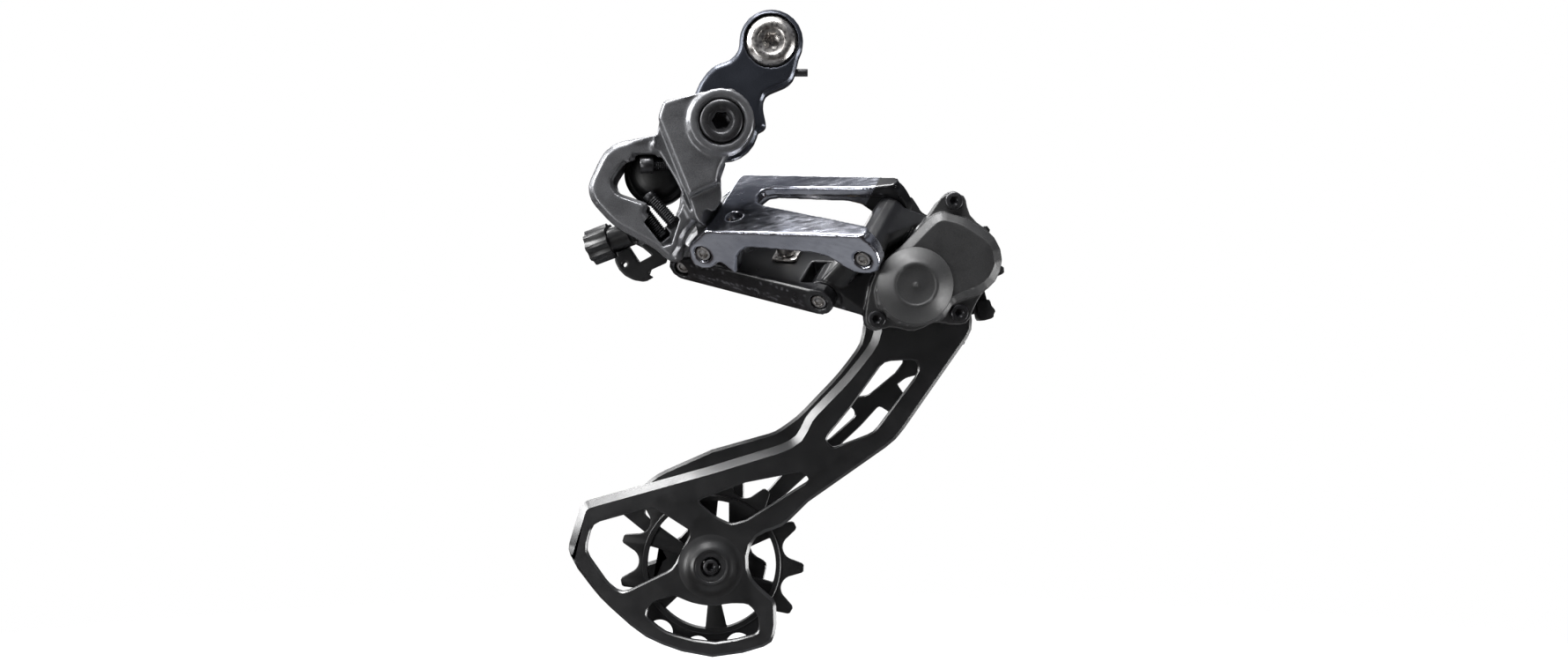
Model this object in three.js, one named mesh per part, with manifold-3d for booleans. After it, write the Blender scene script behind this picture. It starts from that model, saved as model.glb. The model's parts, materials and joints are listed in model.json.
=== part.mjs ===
// Rear bicycle derailleur with a slanted parallelogram, a clutch on the cage pivot and a long cage.
// Millimetres. +X forward on the bicycle, +Y inboard, towards the wheel, and +Z up.
// The origin is on the axis of the hanger bolt, where the link's back face meets the frame's hanger.
// It stands in its relaxed state: parallelogram fully outboard, cage swung back against its stop.
import * as THREE from "three";
import { mergeVertices } from "three/addons/utils/BufferGeometryUtils.js";
import { ConvexGeometry } from "three/addons/geometries/ConvexGeometry.js";
import Module from "manifold-3d";

const wasm = await Module();
wasm.setup();

// ---- Driving dimensions ------------------------------------------------------------------------

const GAP = 0.35; // clearance between pieces that touch or run on each other
const CHAIN_PITCH = 12.7;
const ROLLER_RADIUS = 3.97;
const GUIDE_TEETH = 11;
const TENSION_TEETH = 13;

// Depths along Y: less is further outboard.
const LINK_FRONT = -8; // outboard face of the hanger link; its back face is at 0
const BOSS_FRONT = -21; // outboard face of the B-axle boss
const BOSS_BACK = -8.5;
const COVER_FRONT = -27; // plateau of the clutch cover
const COVER_SEAM = -18.6; // outboard face of the P-knuckle, under the cover's gasket
const HOUSING_BACK = -0.6;
const OUTER_PLATE = [0.4, 3.8]; // front and back of the outer cage plate
const INNER_PLATE = [12.2, 14.6];
const PULLEY_PLANE = 8; // middle of both pulleys

// Axes that run along Y: [X, Z].
const HANGER_BOLT = [0, 0];
const B_AXLE = [-14.7, -25.6];
const P_AXLE = [42.3, -74.5];
const GUIDE_AXIS = [47.6, -70.5];
const TENSION_AXIS = [-18.6, -160.2];
const LEVER_AXIS = [60, -69.5];
const COVER_SCREWS = [[54, -49.6], [55.6, -82.6], [31.2, -84.4]];

// The parallelogram. Every link pin lies along PIN_AXIS, from its lower outboard end.
const PIN_AXIS = new THREE.Vector3(0.361, 0.707, 0.608).normalize();
const LINK_SPAN = new THREE.Vector3(47.5, -22.1, -2.7).projectOnPlane(PIN_AXIS);
const LINK_DIR = LINK_SPAN.clone().normalize();
const LINK_ACROSS = PIN_AXIS.clone().cross(LINK_DIR); // from the outer link towards the inner one
const LINK_LENGTH = LINK_SPAN.length();
const OUTER_PIN_FOOT = new THREE.Vector3(-20.8, -7.9, -64.7); // at the B-knuckle
const INNER_OFFSET = [-17, 15.2]; // from an outer pin to its inner pin, along LINK_DIR and LINK_ACROSS
const LINK_HEIGHT = 31; // length of the outer link along its pins
const EAR = 4.8; // thickness of each of its ears
const PIN_RADIUS = 2.4;
const BARREL_RADIUS = 4.8; // knuckle barrels that the pins run in
const INNER_P_SPAN = [-1.5, 17]; // height range of the inner link at the P-knuckle
const INNER_B_SPAN = [13, 30]; // and at the B-knuckle
const INNER_EAR = 4;

// ---- Materials ---------------------------------------------------------------------------------

function finish(color, roughness, metalness) {
  return new THREE.MeshStandardMaterial({ color, roughness, metalness });
}

const MATERIALS = {
  knuckle: finish(0x4a4b50, 0.45, 0.7),
  link: finish(0x2a2c33, 0.3, 0.7),
  polished: finish(0x9a9ca6, 0.18, 1),
  black: finish(0x17171a, 0.45, 0.5),
  plate: finish(0x121214, 0.5, 0.5),
  cover: finish(0x2c2c2e, 0.6, 0),
  plastic: finish(0x111112, 0.55, 0),
  steel: finish(0xb9b7b3, 0.25, 1),
  screw: finish(0x151516, 0.35, 0.9),
  brass: finish(0x8f6b3a, 0.35, 1),
  rubber: finish(0x101010, 0.85, 0),
};

// ---- Solids ------------------------------------------------------------------------------------

function solid(geometry) {
  const loose = geometry.index ? geometry.toNonIndexed() : geometry;
  const bare = new THREE.BufferGeometry();
  bare.setAttribute("position", loose.getAttribute("position").clone());
  const merged = mergeVertices(bare, 1e-4);
  const mesh = new wasm.Mesh({
    numProp: 3,
    vertProperties: new Float32Array(merged.attributes.position.array),
    triVerts: new Uint32Array(merged.index.array),
  });
  return new wasm.Manifold(mesh);
}

function geometryOf(body) {
  const mesh = body.getMesh();
  const geometry = new THREE.BufferGeometry();
  const positions = new Float32Array(mesh.numVert * 3);
  for (let i = 0; i < mesh.numVert; i++) {
    const start = i * mesh.numProp;
    positions.set(mesh.vertProperties.subarray(start, start + 3), i * 3);
  }
  geometry.setAttribute("position", new THREE.BufferAttribute(positions, 3));
  geometry.setIndex(new THREE.BufferAttribute(mesh.triVerts, 1));
  const faceted = geometry.toNonIndexed();
  faceted.computeVertexNormals();
  return faceted;
}

const joined = (...bodies) => bodies.reduce((a, b) => a.add(b));
const cut = (body, ...tools) => tools.reduce((a, b) => a.subtract(b), body);

// A closed outline from corners [x, y] or [x, y, radius]; a radius rounds that corner.
function outline(corners, into = new THREE.Shape()) {
  const count = corners.length;
  corners.forEach(([x, y, radius = 0], i) => {
    const corner = new THREE.Vector2(x, y);
    const before = new THREE.Vector2(...corners[(i + count - 1) % count]);
    const after = new THREE.Vector2(...corners[(i + 1) % count]);
    const half = (p) => corner.distanceTo(p) / 2;
    const reach = Math.min(radius, half(before), half(after));
    const toward = (p) => p.clone().sub(corner).setLength(reach).add(corner);
    const start = reach ? toward(before) : corner;
    const end = reach ? toward(after) : corner;
    if (!i) into.moveTo(start.x, start.y);
    else if (into.currentPoint.distanceTo(start) > 1e-3) into.lineTo(start.x, start.y);
    if (reach) into.quadraticCurveTo(x, y, end.x, end.y);
  });
  into.closePath();
  return into;
}

function disc(x, y, radius, into = new THREE.Shape()) {
  return into.absarc(x, y, radius, 0, 2 * Math.PI, false);
}

function withHoles(shape, ...holes) {
  shape.holes.push(...holes);
  return shape;
}

const hole = (corners) => outline(corners, new THREE.Path());

// A shape extruded along its own z from low to high.
function prism(shape, low, high, curveSegments) {
  const settings = { depth: high - low, bevelEnabled: false, curveSegments };
  return new THREE.ExtrudeGeometry(shape, settings).translate(0, 0, low);
}

// A shape drawn in X and Z, from its outboard face to its inboard one.
function plate(shape, front, back, curveSegments = 2) {
  return solid(prism(shape, -back, -front, curveSegments).rotateX(Math.PI / 2));
}

// A lathe profile of [radius, distance] pairs, turned about a line from a point along a direction.
function turned(profile, point, direction, segments = 24) {
  const points = profile.map(([r, d]) => new THREE.Vector2(r, d));
  const geometry = new THREE.LatheGeometry([...points, points[0]], segments);
  const up = new THREE.Vector3(0, 1, 0);
  const turn = new THREE.Quaternion().setFromUnitVectors(up, direction.clone().normalize());
  const body = solid(geometry.applyQuaternion(turn).translate(point.x, point.y, point.z));
  return body;
}

const X_AXIS = new THREE.Vector3(1, 0, 0);
const OUTBOARD = new THREE.Vector3(0, -1, 0);
const point = (x, y, z) => new THREE.Vector3(x, y, z);
const at = ([x, z], y = 0) => new THREE.Vector3(x, y, z);

// A round rod between two depths on an axis along Y.
function rodY(axis, front, back, radius, segments = 16) {
  const length = back - front;
  return turned([[0, 0], [radius, 0], [radius, length], [0, length]], at(axis, back), OUTBOARD, segments);
}

function ringY(axis, front, back, inner, outer, segments = 18) {
  const length = back - front;
  const profile = [[inner, 0], [outer, 0], [outer, length], [inner, length]];
  return turned(profile, at(axis, back), OUTBOARD, segments);
}

function rodAlong(start, direction, length, radius, segments = 16) {
  return turned([[0, 0], [radius, 0], [radius, length], [0, length]], start, direction, segments);
}

// A screw from its head's outer face to its far end.
function screwAlong([head, end], radius, headRadius, headLength) {
  const direction = end.clone().sub(head);
  const length = direction.length();
  return turned([
    [0, 0], [headRadius, 0], [headRadius, headLength], [radius, headLength], [radius, length],
    [0, length],
  ], head, direction, 10);
}

// The hole for such a screw, open past both of its ends.
function clearance([head, end], radius) {
  const direction = end.clone().sub(head).normalize();
  const start = head.clone().addScaledVector(direction, -4);
  return rodAlong(start, direction, head.distanceTo(end) + 5, radius + GAP, 14);
}

// A coil of round wire about an axis, with its ends closed.
function coil(foot, axis, radius, wire, turns, pitch) {
  class Helix extends THREE.Curve {
    getPoint(t) {
      const angle = t * turns * 2 * Math.PI;
      return point(radius * Math.cos(angle), t * turns * pitch, radius * Math.sin(angle));
    }
  }
  const steps = Math.round(turns * 10);
  const geometry = new THREE.ExtrudeGeometry(disc(0, 0, wire), {
    steps, extrudePath: new Helix(), curveSegments: 3,
  });
  const turn = new THREE.Quaternion().setFromUnitVectors(new THREE.Vector3(0, 1, 0), axis);
  return solid(geometry.applyQuaternion(turn).translate(foot.x, foot.y, foot.z));
}

// A hexagonal key socket open towards the outboard side.
function socketY(axis, front, back, acrossFlats) {
  const shape = new THREE.Shape();
  const radius = acrossFlats / Math.sqrt(3);
  for (let i = 0; i < 6; i++) {
    const angle = (i * Math.PI) / 3;
    const point = [axis[0] + radius * Math.cos(angle), axis[1] + radius * Math.sin(angle)];
    if (i) shape.lineTo(...point);
    else shape.moveTo(...point);
  }
  return plate(shape, front, back);
}

// ---- Link frame --------------------------------------------------------------------------------
// Coordinates along the outer link, across it towards the inner link, and up its pins.

const LINK_FRAME = new THREE.Matrix4()
  .makeBasis(LINK_DIR, LINK_ACROSS, PIN_AXIS)
  .setPosition(OUTER_PIN_FOOT);

const linkPoint = (along, across, height) =>
  new THREE.Vector3(along, across, height).applyMatrix4(LINK_FRAME);

// A shape drawn along and across the link, extruded up its pins.
function linkSlab(shape, low, high, curveSegments = 2) {
  return solid(prism(shape, low, high, curveSegments).applyMatrix4(LINK_FRAME));
}

// A shape drawn along the link and up its pins, extruded across it.
function linkPanel(shape, low, high) {
  const geometry = prism(shape, -high, -low, 2).rotateX(Math.PI / 2);
  return solid(geometry.applyMatrix4(LINK_FRAME));
}

function pinRod([along, across], low, high, radius, segments = 12) {
  const length = high - low;
  const profile = [[0, 0], [radius, 0], [radius, length], [0, length]];
  return turned(profile, linkPoint(along, across, low), PIN_AXIS, segments);
}

function hullOf(points) {
  return solid(new ConvexGeometry(points));
}

// Corner points of a short rod along the pins, for hulls that blend a barrel into a casting.
function rodPoints([along, across], low, high, radius, count = 12) {
  const points = [];
  for (let i = 0; i < count; i++) {
    const angle = (i * 2 * Math.PI) / count;
    for (const height of [low, high]) {
      const a = along + radius * Math.cos(angle);
      points.push(linkPoint(a, across + radius * Math.sin(angle), height));
    }
  }
  return points;
}

const OUTER_B = [0, 0];
const OUTER_P = [LINK_LENGTH, 0];
const INNER_B = INNER_OFFSET;
const INNER_P = [LINK_LENGTH + INNER_OFFSET[0], INNER_OFFSET[1]];

// Height ranges of the knuckles' barrels, between the ears of each link.
const BARREL_SPAN = [EAR + GAP, LINK_HEIGHT - EAR - GAP];
const INNER_BARREL_B = [INNER_B_SPAN[0] + INNER_EAR + GAP, INNER_B_SPAN[1] - INNER_EAR - GAP];
const INNER_BARREL_P = [INNER_P_SPAN[0] + INNER_EAR + GAP, INNER_P_SPAN[1] - INNER_EAR - GAP];

// A link pin with a recessed face at its lower end.
function linkPin(pin, low, high) {
  const dimple = 1.3;
  return turned([
    [0, 1], [dimple, 1], [dimple, 0.2], [PIN_RADIUS, 0.2], [PIN_RADIUS, high - low - 0.2],
    [0, high - low - 0.2],
  ], linkPoint(...pin, low), PIN_AXIS, 12);
}

// ---- Assembly ----------------------------------------------------------------------------------

const derailleur = new THREE.Group();

function add(name, body, material) {
  const mesh = new THREE.Mesh(geometryOf(body), material);
  mesh.name = name;
  derailleur.add(mesh);
}

// ---- Hanger link and its bolts -----------------------------------------------------------------

const HANGER_EYE_RADIUS = 9.7;
const FLANGE_RADIUS = 8.1; // of the hanger bolt
const FLANGE_SEAT = -5.4; // floor of the counterbore that the flange sits in
const HANGER_SHANK = 5; // M10 x 1 thread
const B_AXLE_RADIUS = 4.6;
const STOP_SCREW_RADIUS = 1.2;
const STOP_SCREW_START = new THREE.Vector3(0.5, -4, -9.2);

function hangerLink() {
  const web = outline([
    [-9.6, 0], [9.3, 0], [8.6, -4, 3], [6.8, -11.6, 2], [4.3, -13.6, 1], [-2.2, -16.2, 2],
    [-2.7, -20, 3], [-1.4, -26, 1.5], [-3.4, -27.4, 1.5], [-14, -30], [-24.5, -20],
    [-22, -12.5, 3], [-17.5, -7.2, 3], [-12.6, -6, 3], [-10, -3, 2],
  ]);
  const body = joined(
    plate(disc(...HANGER_BOLT, HANGER_EYE_RADIUS), LINK_FRONT, 0, 12),
    plate(web, LINK_FRONT, 0),
    plate(disc(...B_AXLE, 10.8), LINK_FRONT, 0, 12),
  );
  return cut(
    body,
    rodY(HANGER_BOLT, LINK_FRONT - 1, FLANGE_SEAT, FLANGE_RADIUS + GAP, 20),
    rodY(HANGER_BOLT, LINK_FRONT, 1, HANGER_SHANK + GAP),
    rodY(B_AXLE, LINK_FRONT - 1, 1, B_AXLE_RADIUS + GAP),
    rodAlong(STOP_SCREW_START.clone().setX(-2), X_AXIS, 16, STOP_SCREW_RADIUS + GAP, 12),
  );
}

function hangerBolt() {
  const front = -9;
  const profile = [
    [2.3, -9.2], [HANGER_SHANK, -9.2], [HANGER_SHANK, GAP - FLANGE_SEAT],
    [FLANGE_RADIUS, GAP - FLANGE_SEAT], [FLANGE_RADIUS, 7], [5.8, -front], [2.3, -front],
  ];
  return cut(turned(profile, at(HANGER_BOLT), OUTBOARD, 20), socketY(HANGER_BOLT, front - 1, -4.5, 5));
}

function bAxle() {
  const head = -BOSS_FRONT + 0.5;
  const profile = [
    [0, -2], [B_AXLE_RADIUS, -2], [B_AXLE_RADIUS, 18], [6.4, 18], [6.4, head - 0.5],
    [5.9, head], [0, head],
  ];
  const groove = ringY(B_AXLE, 0.8, 1.9, 3.6, B_AXLE_RADIUS + 1);
  return cut(turned(profile, at(B_AXLE), OUTBOARD), socketY(B_AXLE, -head - 1, -16, 5), groove);
}

function circlip(axis, front, back, inner, outer) {
  const mouth = plate(outline([
    [axis[0] - 1.5, axis[1]], [axis[0] + 1.5, axis[1]],
    [axis[0] + 3.5, axis[1] - 12], [axis[0] - 3.5, axis[1] - 12],
  ]), front - 1, back + 1);
  return cut(ringY(axis, front, back, inner, outer), mouth);
}

add("hanger_link", hangerLink(), MATERIALS.link);
add("hanger_bolt", hangerBolt(), MATERIALS.steel);
add("b_axle", bAxle(), MATERIALS.black);
add("b_axle_circlip", circlip(B_AXLE, 1.1, 1.6, 3.95, 6.6), MATERIALS.screw);
add("link_stop_screw", rodAlong(STOP_SCREW_START, X_AXIS, 10.6, STOP_SCREW_RADIUS, 12), MATERIALS.screw);

// ---- B-knuckle ---------------------------------------------------------------------------------

const BOSS_RADIUS = 9.85;
const SPRING_POCKET = 8.4; // radius of the pocket for the B-spring
const CAP_CENTRE = [-35.2, -39.8]; // domed cap beside the cable entry
const CAP_RADIUS = 9.8;
const LIMIT_SCREWS = [
  [point(-37.5, -7.2, -46.3), point(-29.8, -7.2, -55)],
  [point(-40.2, -5.2, -49.8), point(-32.8, -5.2, -59)],
];
const LIMIT_SCREW_RADIUS = 1.9;
const TENSION_SCREW = [point(-39.6, -9, -37.7), point(-23.5, -7.5, -37.4)];
const TENSION_SCREW_RADIUS = 1.5;
const ADJUSTER_START = point(-43.5, 6, -57.5);
const ADJUSTER_AXIS = new THREE.Vector3(-0.9, 0.3, -0.32).normalize();
const alongAdjuster = (distance) => ADJUSTER_START.clone().addScaledVector(ADJUSTER_AXIS, distance);
const CABLE_WHEEL = [-40.4, -64]; // centre of the cable entry's round end

// The C-shaped body around the window that the limit screws stand in.
function bFrame() {
  const outer = outline([
    [-26, -29], [-33.3, -28.8], [-46.1, -30.6, 3], [-50.6, -33.6, 3], [-55.5, -44, 4],
    [-54.6, -48.6, 3], [-47.7, -56.2, 3], [-34.8, -63.2, 2], [-31, -67, 2], [-26.8, -66, 2],
    [-26.9, -60.2, 2], [-19, -50], [-20, -38],
  ]);
  const window = outline([
    [-44, -36.8, 2], [-30, -35], [-27, -44, 2], [-28, -52, 2], [-33, -57, 1.5], [-38, -52],
    [-37, -49.4, 1], [-46.4, -46.2, 1.5], [-48, -43, 1.5],
  ]);
  return cut(plate(outer, -11.5, 5), plate(window, -20, 20));
}

function bArm() {
  const high = outline([
    [-12, -16], [-18, -16.6], [-32, -19.4, 1], [-33.8, -24.6, 1.5], [-32, -29, 2], [-24.4, -48],
    [-16, -44], [-15.4, -40, 2], [-12, -34],
  ]);
  const low = outline([
    [-26.5, -41], [-22.4, -54.6, 1], [-19.8, -56.6, 1], [-14.8, -49, 1.5], [-15.4, -40],
  ]);
  const spine = outline([
    [-13, -34], [-25, -33], [-31, -24], [-33.5, -24], [-35, -32], [-29, -42], [-24, -52], [-17, -46],
  ]);
  const toBarrel = hullOf([
    ...rodPoints(OUTER_B, 7, 17, BARREL_RADIUS - 0.6, 8),
    point(-24, -9, -48), point(-17, -9, -46), point(-24, 1, -48), point(-17, 1, -46),
    point(-23, -9, -55), point(-23, 1, -55),
  ]);
  return joined(
    plate(high, -19.5, -10.5),
    plate(low, -16, -6),
    plate(spine, -12, -1),
    toBarrel,
  );
}

function bKnuckle() {
  const depth = BOSS_BACK - BOSS_FRONT;
  const boss = turned([
    [0, 0], [BOSS_RADIUS, 0], [BOSS_RADIUS, depth - 0.6], [BOSS_RADIUS - 0.6, depth], [0, depth],
  ], at(B_AXLE, BOSS_BACK), OUTBOARD, 20);
  const bridge = hullOf([
    ...rodPoints(OUTER_B, 13, BARREL_SPAN[1], 3.6, 8),
    ...rodPoints(INNER_B, ...INNER_BARREL_B, 3.6, 8),
  ]);
  const rib = hullOf([
    ...rodPoints(INNER_B, INNER_BARREL_B[0], INNER_BARREL_B[0] + 3, 3.6, 8),
    point(-34, 0, -60), point(-25, 0, -62), point(-34, 4, -58), point(-26, 4, -62),
  ]);
  const block = joined(
    bFrame(), bArm(), bridge, rib, boss,
    pinRod(OUTER_B, ...BARREL_SPAN, BARREL_RADIUS),
    pinRod(INNER_B, ...INNER_BARREL_B, BARREL_RADIUS),
  );
  return cut(
    block,
    pinRod(OUTER_B, -12, BARREL_SPAN[0], 6.6, 10),
    pinRod(OUTER_B, BARREL_SPAN[1], 45, 6.6, 10),
    pinRod(INNER_B, INNER_B_SPAN[0] - 9, INNER_BARREL_B[0], 6.2, 10),
    pinRod(INNER_B, INNER_BARREL_B[1], 45, 6.2, 10),
    panelSweep(),
    innerLinkRoom(),
    pinRod(OUTER_B, -5, 45, PIN_RADIUS + GAP),
    pinRod(INNER_B, 5, 45, PIN_RADIUS + GAP),
    rodY(B_AXLE, BOSS_FRONT - 1, -17.6, 6.4 + GAP),
    rodY(B_AXLE, BOSS_FRONT, 3, B_AXLE_RADIUS + GAP),
    rodY(B_AXLE, -16.2, -8, SPRING_POCKET),
    ringY(B_AXLE, BOSS_BACK, 8, 4, 11.2, 20),
    rodY(CAP_CENTRE, -7.6, 8, CAP_RADIUS + GAP, 20),
    clearance(TENSION_SCREW, TENSION_SCREW_RADIUS),
    rodAlong(TENSION_SCREW[0].clone().setX(-41), X_AXIS, 6.6, 3.2, 14),
    ...LIMIT_SCREWS.map((screw) => clearance(screw, LIMIT_SCREW_RADIUS)),
    plate(outline([[-50, -50], [-50, -75], [-31.6, -75], [-31.6, -58], [-35, -50]]), 5.05, 18),
    rodAlong(alongAdjuster(-3), ADJUSTER_AXIS, 9, 4.4, 14),
    rodAlong(alongAdjuster(5.9), ADJUSTER_AXIS, 12, 6.2, 14),
  );
}

// The room that the outer link's panel sweeps through round the B-knuckle's outer barrel.
function panelSweep() {
  const first = THREE.MathUtils.degToRad(283);
  const last = THREE.MathUtils.degToRad(425);
  const shape = new THREE.Shape();
  shape.absarc(0, 0, 15, first, last, false);
  shape.absarc(0, 0, BARREL_RADIUS + GAP / 2, last, first, true);
  shape.closePath();
  return linkSlab(shape, -10, 48, 6);
}

// The room that the inner link sweeps through beside the B-knuckle's inner barrel.
function innerLinkRoom() {
  const [a, c] = INNER_B;
  const room = (low, high) => {
    const shape = new THREE.Shape();
    shape.absarc(a, c, 16, -0.35, 1.3, false);
    shape.lineTo(a - 1, c + 6);
    shape.lineTo(a - 1, c - 5.4);
    shape.closePath();
    return linkSlab(shape, low, high, 5);
  };
  return joined(
    room(INNER_B_SPAN[0] - 9, INNER_BARREL_B[0]),
    room(INNER_BARREL_B[1], 45),
  );
}

function domedCap() {
  const rim = 1.6;
  const profile = [[0, -4], [CAP_RADIUS, -4], [CAP_RADIUS, 2], [CAP_RADIUS - 1.4, 2.6], [7.8, 2.6]];
  for (let i = 1; i < 3; i++) {
    const angle = (i / 3) * (Math.PI / 2);
    profile.push([7.8 * Math.cos(angle), 2.6 + (rim + 1.8) * Math.sin(angle)]);
  }
  profile.push([0, 2.6 + rim + 1.8]);
  return turned(profile, at(CAP_CENTRE), OUTBOARD, 20);
}

function cableEntry() {
  const round = plate(disc(...CABLE_WHEEL, 8.4), 5.4, 15, 10);
  const neck = plate(outline([
    [-48.8, -57, 1], [-48.6, -65], [-41, -68], [-33, -66], [-32, -60], [-36, -55],
  ]), 5.4, 13);
  const window = plate(outline([[-46, -59], [-40, -62], [-37, -64.5], [-41, -66.6]]), 5, 20);
  const channel = ringY(CABLE_WHEEL, 9.2, 11.4, 6.4, 10);
  const socket = rodAlong(alongAdjuster(-3), ADJUSTER_AXIS, 24, 4.6);
  const gripRoom = rodAlong(alongAdjuster(6.1), ADJUSTER_AXIS, 14, 6.2);
  const screwHole = rodY([-45.6, -67.2], 0, 20, 0.9, 8);
  return cut(joined(round, neck), window, channel, socket, gripRoom, screwHole, bridgeRoom());
}

// Room round the inner barrel for the cable entry, which is screwed on beside it.
function bridgeRoom() {
  return joined(
    pinRod(INNER_B, 0, 40, 8.4),
    hullOf([
      ...rodPoints(OUTER_B, 10, 30, 5, 8),
      ...rodPoints(INNER_B, 10, 34, 5.6, 8),
    ]),
  );
}

function barrelAdjuster() {
  const shape = new THREE.Shape();
  const lobes = 9;
  for (let i = 0; i < lobes * 4; i++) {
    const angle = (i / (lobes * 4)) * 2 * Math.PI;
    const radius = i % 4 < 2 ? 5.6 : 5;
    const corner = [radius * Math.cos(angle), radius * Math.sin(angle)];
    if (i) shape.lineTo(...corner);
    else shape.moveTo(...corner);
  }
  shape.closePath();
  const grip = prism(shape, 6.5, 14, 1);
  const turn = new THREE.Quaternion().setFromUnitVectors(new THREE.Vector3(0, 0, 1), ADJUSTER_AXIS);
  const { x, y, z } = ADJUSTER_START;
  const knurled = solid(grip.applyQuaternion(turn).translate(x, y, z));
  const stem = rodAlong(ADJUSTER_START, ADJUSTER_AXIS, 7, 3.9);
  const bore = rodAlong(alongAdjuster(-1), ADJUSTER_AXIS, 20, 1.2, 10);
  const ferrule = rodAlong(alongAdjuster(7), ADJUSTER_AXIS, 10, 2.6, 14);
  return cut(joined(knurled, stem), bore, ferrule);
}

const B_SPRING_WIRE = 0.9;

add("b_knuckle", bKnuckle(), MATERIALS.knuckle);
add("b_spring", coil(at(B_AXLE, -9.8), OUTBOARD, 6.7, B_SPRING_WIRE, 2.6, 2), MATERIALS.steel);
add("b_tension_screw", screwAlong(TENSION_SCREW, TENSION_SCREW_RADIUS, 2.6, 4), MATERIALS.screw);
const limitScrew = (ends) => screwAlong(ends, LIMIT_SCREW_RADIUS, LIMIT_SCREW_RADIUS, 2);
add("limit_screw_high", limitScrew(LIMIT_SCREWS[0]), MATERIALS.screw);
add("limit_screw_low", limitScrew(LIMIT_SCREWS[1]), MATERIALS.screw);
add("domed_cap", domedCap(), MATERIALS.plastic);
add("cable_entry", cableEntry(), MATERIALS.plastic);
add("barrel_adjuster", barrelAdjuster(), MATERIALS.plastic);
add("pin_b_outer", linkPin(OUTER_B, 0, LINK_HEIGHT), MATERIALS.steel);
add("pin_b_inner", linkPin(INNER_B, ...INNER_B_SPAN), MATERIALS.steel);

// ---- Links -------------------------------------------------------------------------------------

const PANEL = [-8.7, -5.4]; // depth of the outer link's panel across the link
const INNER_HALF = 4.6; // half width of the inner link
const ANCHOR = [20, 15]; // cable anchor on the inner link: along, and up the pins

function outerLink() {
  const right = LINK_LENGTH;
  const panel = outline([
    [3, 0], [right - 4, 0], [right + 2.4, 0, 2], [right + 2.4, 5, 2], [right - 3, 6.5, 3], [13, 15.5, 4],
    [12, 24, 4], [right - 7, 24.5, 2], [right + 3, 26.6, 2], [right + 3, LINK_HEIGHT, 2],
    [2, LINK_HEIGHT, 2],
  ]);
  const lowEar = outline([
    [-4.6, -3, 3], [-1, -5.4, 2], [3, -8.7], [right + 1.5, -8.7, 3], [right + 5.6, -3, 4],
    [right + 5.2, 4.6, 4], [right - 4, 5.6, 4], [right - 11, -1.6, 5], [15, -3.2, 4],
    [11.6, 0.6], [9.6, 7.6, 1.4], [5, 2.6, 1], [1.5, 5.6, 3], [-5.2, 5, 4],
  ]);
  const highEar = outline([
    [-4.8, -3, 3], [0, -5.4, 2], [3, -8.7], [right + 2, -8.7, 3], [right + 5.6, -2, 4],
    [right + 4.8, 4.8, 4], [right - 4, 5, 4], [right - 9, -2.4, 5], [12, -3, 4],
    [5, 4.6, 3], [-4.8, 4.8, 4],
  ]);
  return cut(
    joined(
      linkPanel(panel, ...PANEL),
      linkSlab(lowEar, 0, EAR),
      linkSlab(highEar, LINK_HEIGHT - EAR, LINK_HEIGHT),
    ),
    rodAlong(linkPoint(9.4, -12, 8.4), LINK_ACROSS, 12, 2.6, 14),
    pinRod(OUTER_B, -5, 45, PIN_RADIUS + GAP),
    pinRod(OUTER_P, -5, 45, PIN_RADIUS + GAP),
    ...[OUTER_B, OUTER_P].map((pin) =>
      pinRod(pin, BARREL_SPAN[0] - GAP, BARREL_SPAN[1] + GAP, BARREL_RADIUS + GAP),
    ),
  );
}

function innerLink() {
  const [[ba, bc], [pa, pc]] = [INNER_B, INNER_P];
  const bar = hullOf([
    ...rodPoints(INNER_B, ...INNER_B_SPAN, INNER_HALF, 12),
    ...rodPoints(INNER_P, ...INNER_P_SPAN, INNER_HALF, 12),
  ]);
  const box = (left, right, low, high) =>
    linkSlab(outline([[left, bc - 9], [right, bc - 9], [right, pc + 9], [left, pc + 9]]), low, high);
  const anchor = linkPoint(ANCHOR[0], bc - INNER_HALF - 6, ANCHOR[1]);
  return cut(
    bar,
    box(ba - 9, ba + 12, INNER_BARREL_B[0] - GAP, INNER_BARREL_B[1] + GAP),
    box(pa - 6.4, pa + 9, INNER_BARREL_P[0] - GAP, INNER_BARREL_P[1] + GAP),
    pinRod(INNER_B, -5, 45, PIN_RADIUS + GAP),
    pinRod(INNER_P, -5, 45, PIN_RADIUS + GAP),
    rodAlong(anchor, LINK_ACROSS, 20, 1.9 + GAP, 14),
  );
}

function anchorBolt() {
  const start = linkPoint(ANCHOR[0], INNER_B[1] - INNER_HALF - 4.8, ANCHOR[1]);
  return turned([
    [0, 0], [2.8, 0], [2.8, 3.2], [1.9, 3.2], [1.9, 12], [0, 12],
  ], start, LINK_ACROSS, 14);
}

function anchorPlate() {
  const sheet = outline([
    [ANCHOR[0] - 4, ANCHOR[1] - 3.4, 1], [ANCHOR[0] + 4, ANCHOR[1] - 3.4, 1],
    [ANCHOR[0] + 4, ANCHOR[1] + 3.4, 1], [ANCHOR[0] - 4, ANCHOR[1] + 3.4, 1],
  ]);
  const back = INNER_B[1] - INNER_HALF - GAP;
  const bore = rodAlong(linkPoint(ANCHOR[0], back - 3, ANCHOR[1]), LINK_ACROSS, 6, 1.9 + GAP, 14);
  return cut(linkPanel(sheet, back - 0.9, back), bore);
}

add("outer_link", outerLink(), MATERIALS.polished);
add("inner_link", innerLink(), MATERIALS.black);
add("cable_anchor_bolt", anchorBolt(), MATERIALS.steel);
add("cable_anchor_plate", anchorPlate(), MATERIALS.steel);
add("return_spring", coil(
  linkPoint(...INNER_P, INNER_P_SPAN[1] + 2.6), PIN_AXIS, 3.9, 0.7, 2.6, 1.9,
), MATERIALS.brass);

// ---- P-knuckle ---------------------------------------------------------------------------------

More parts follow.
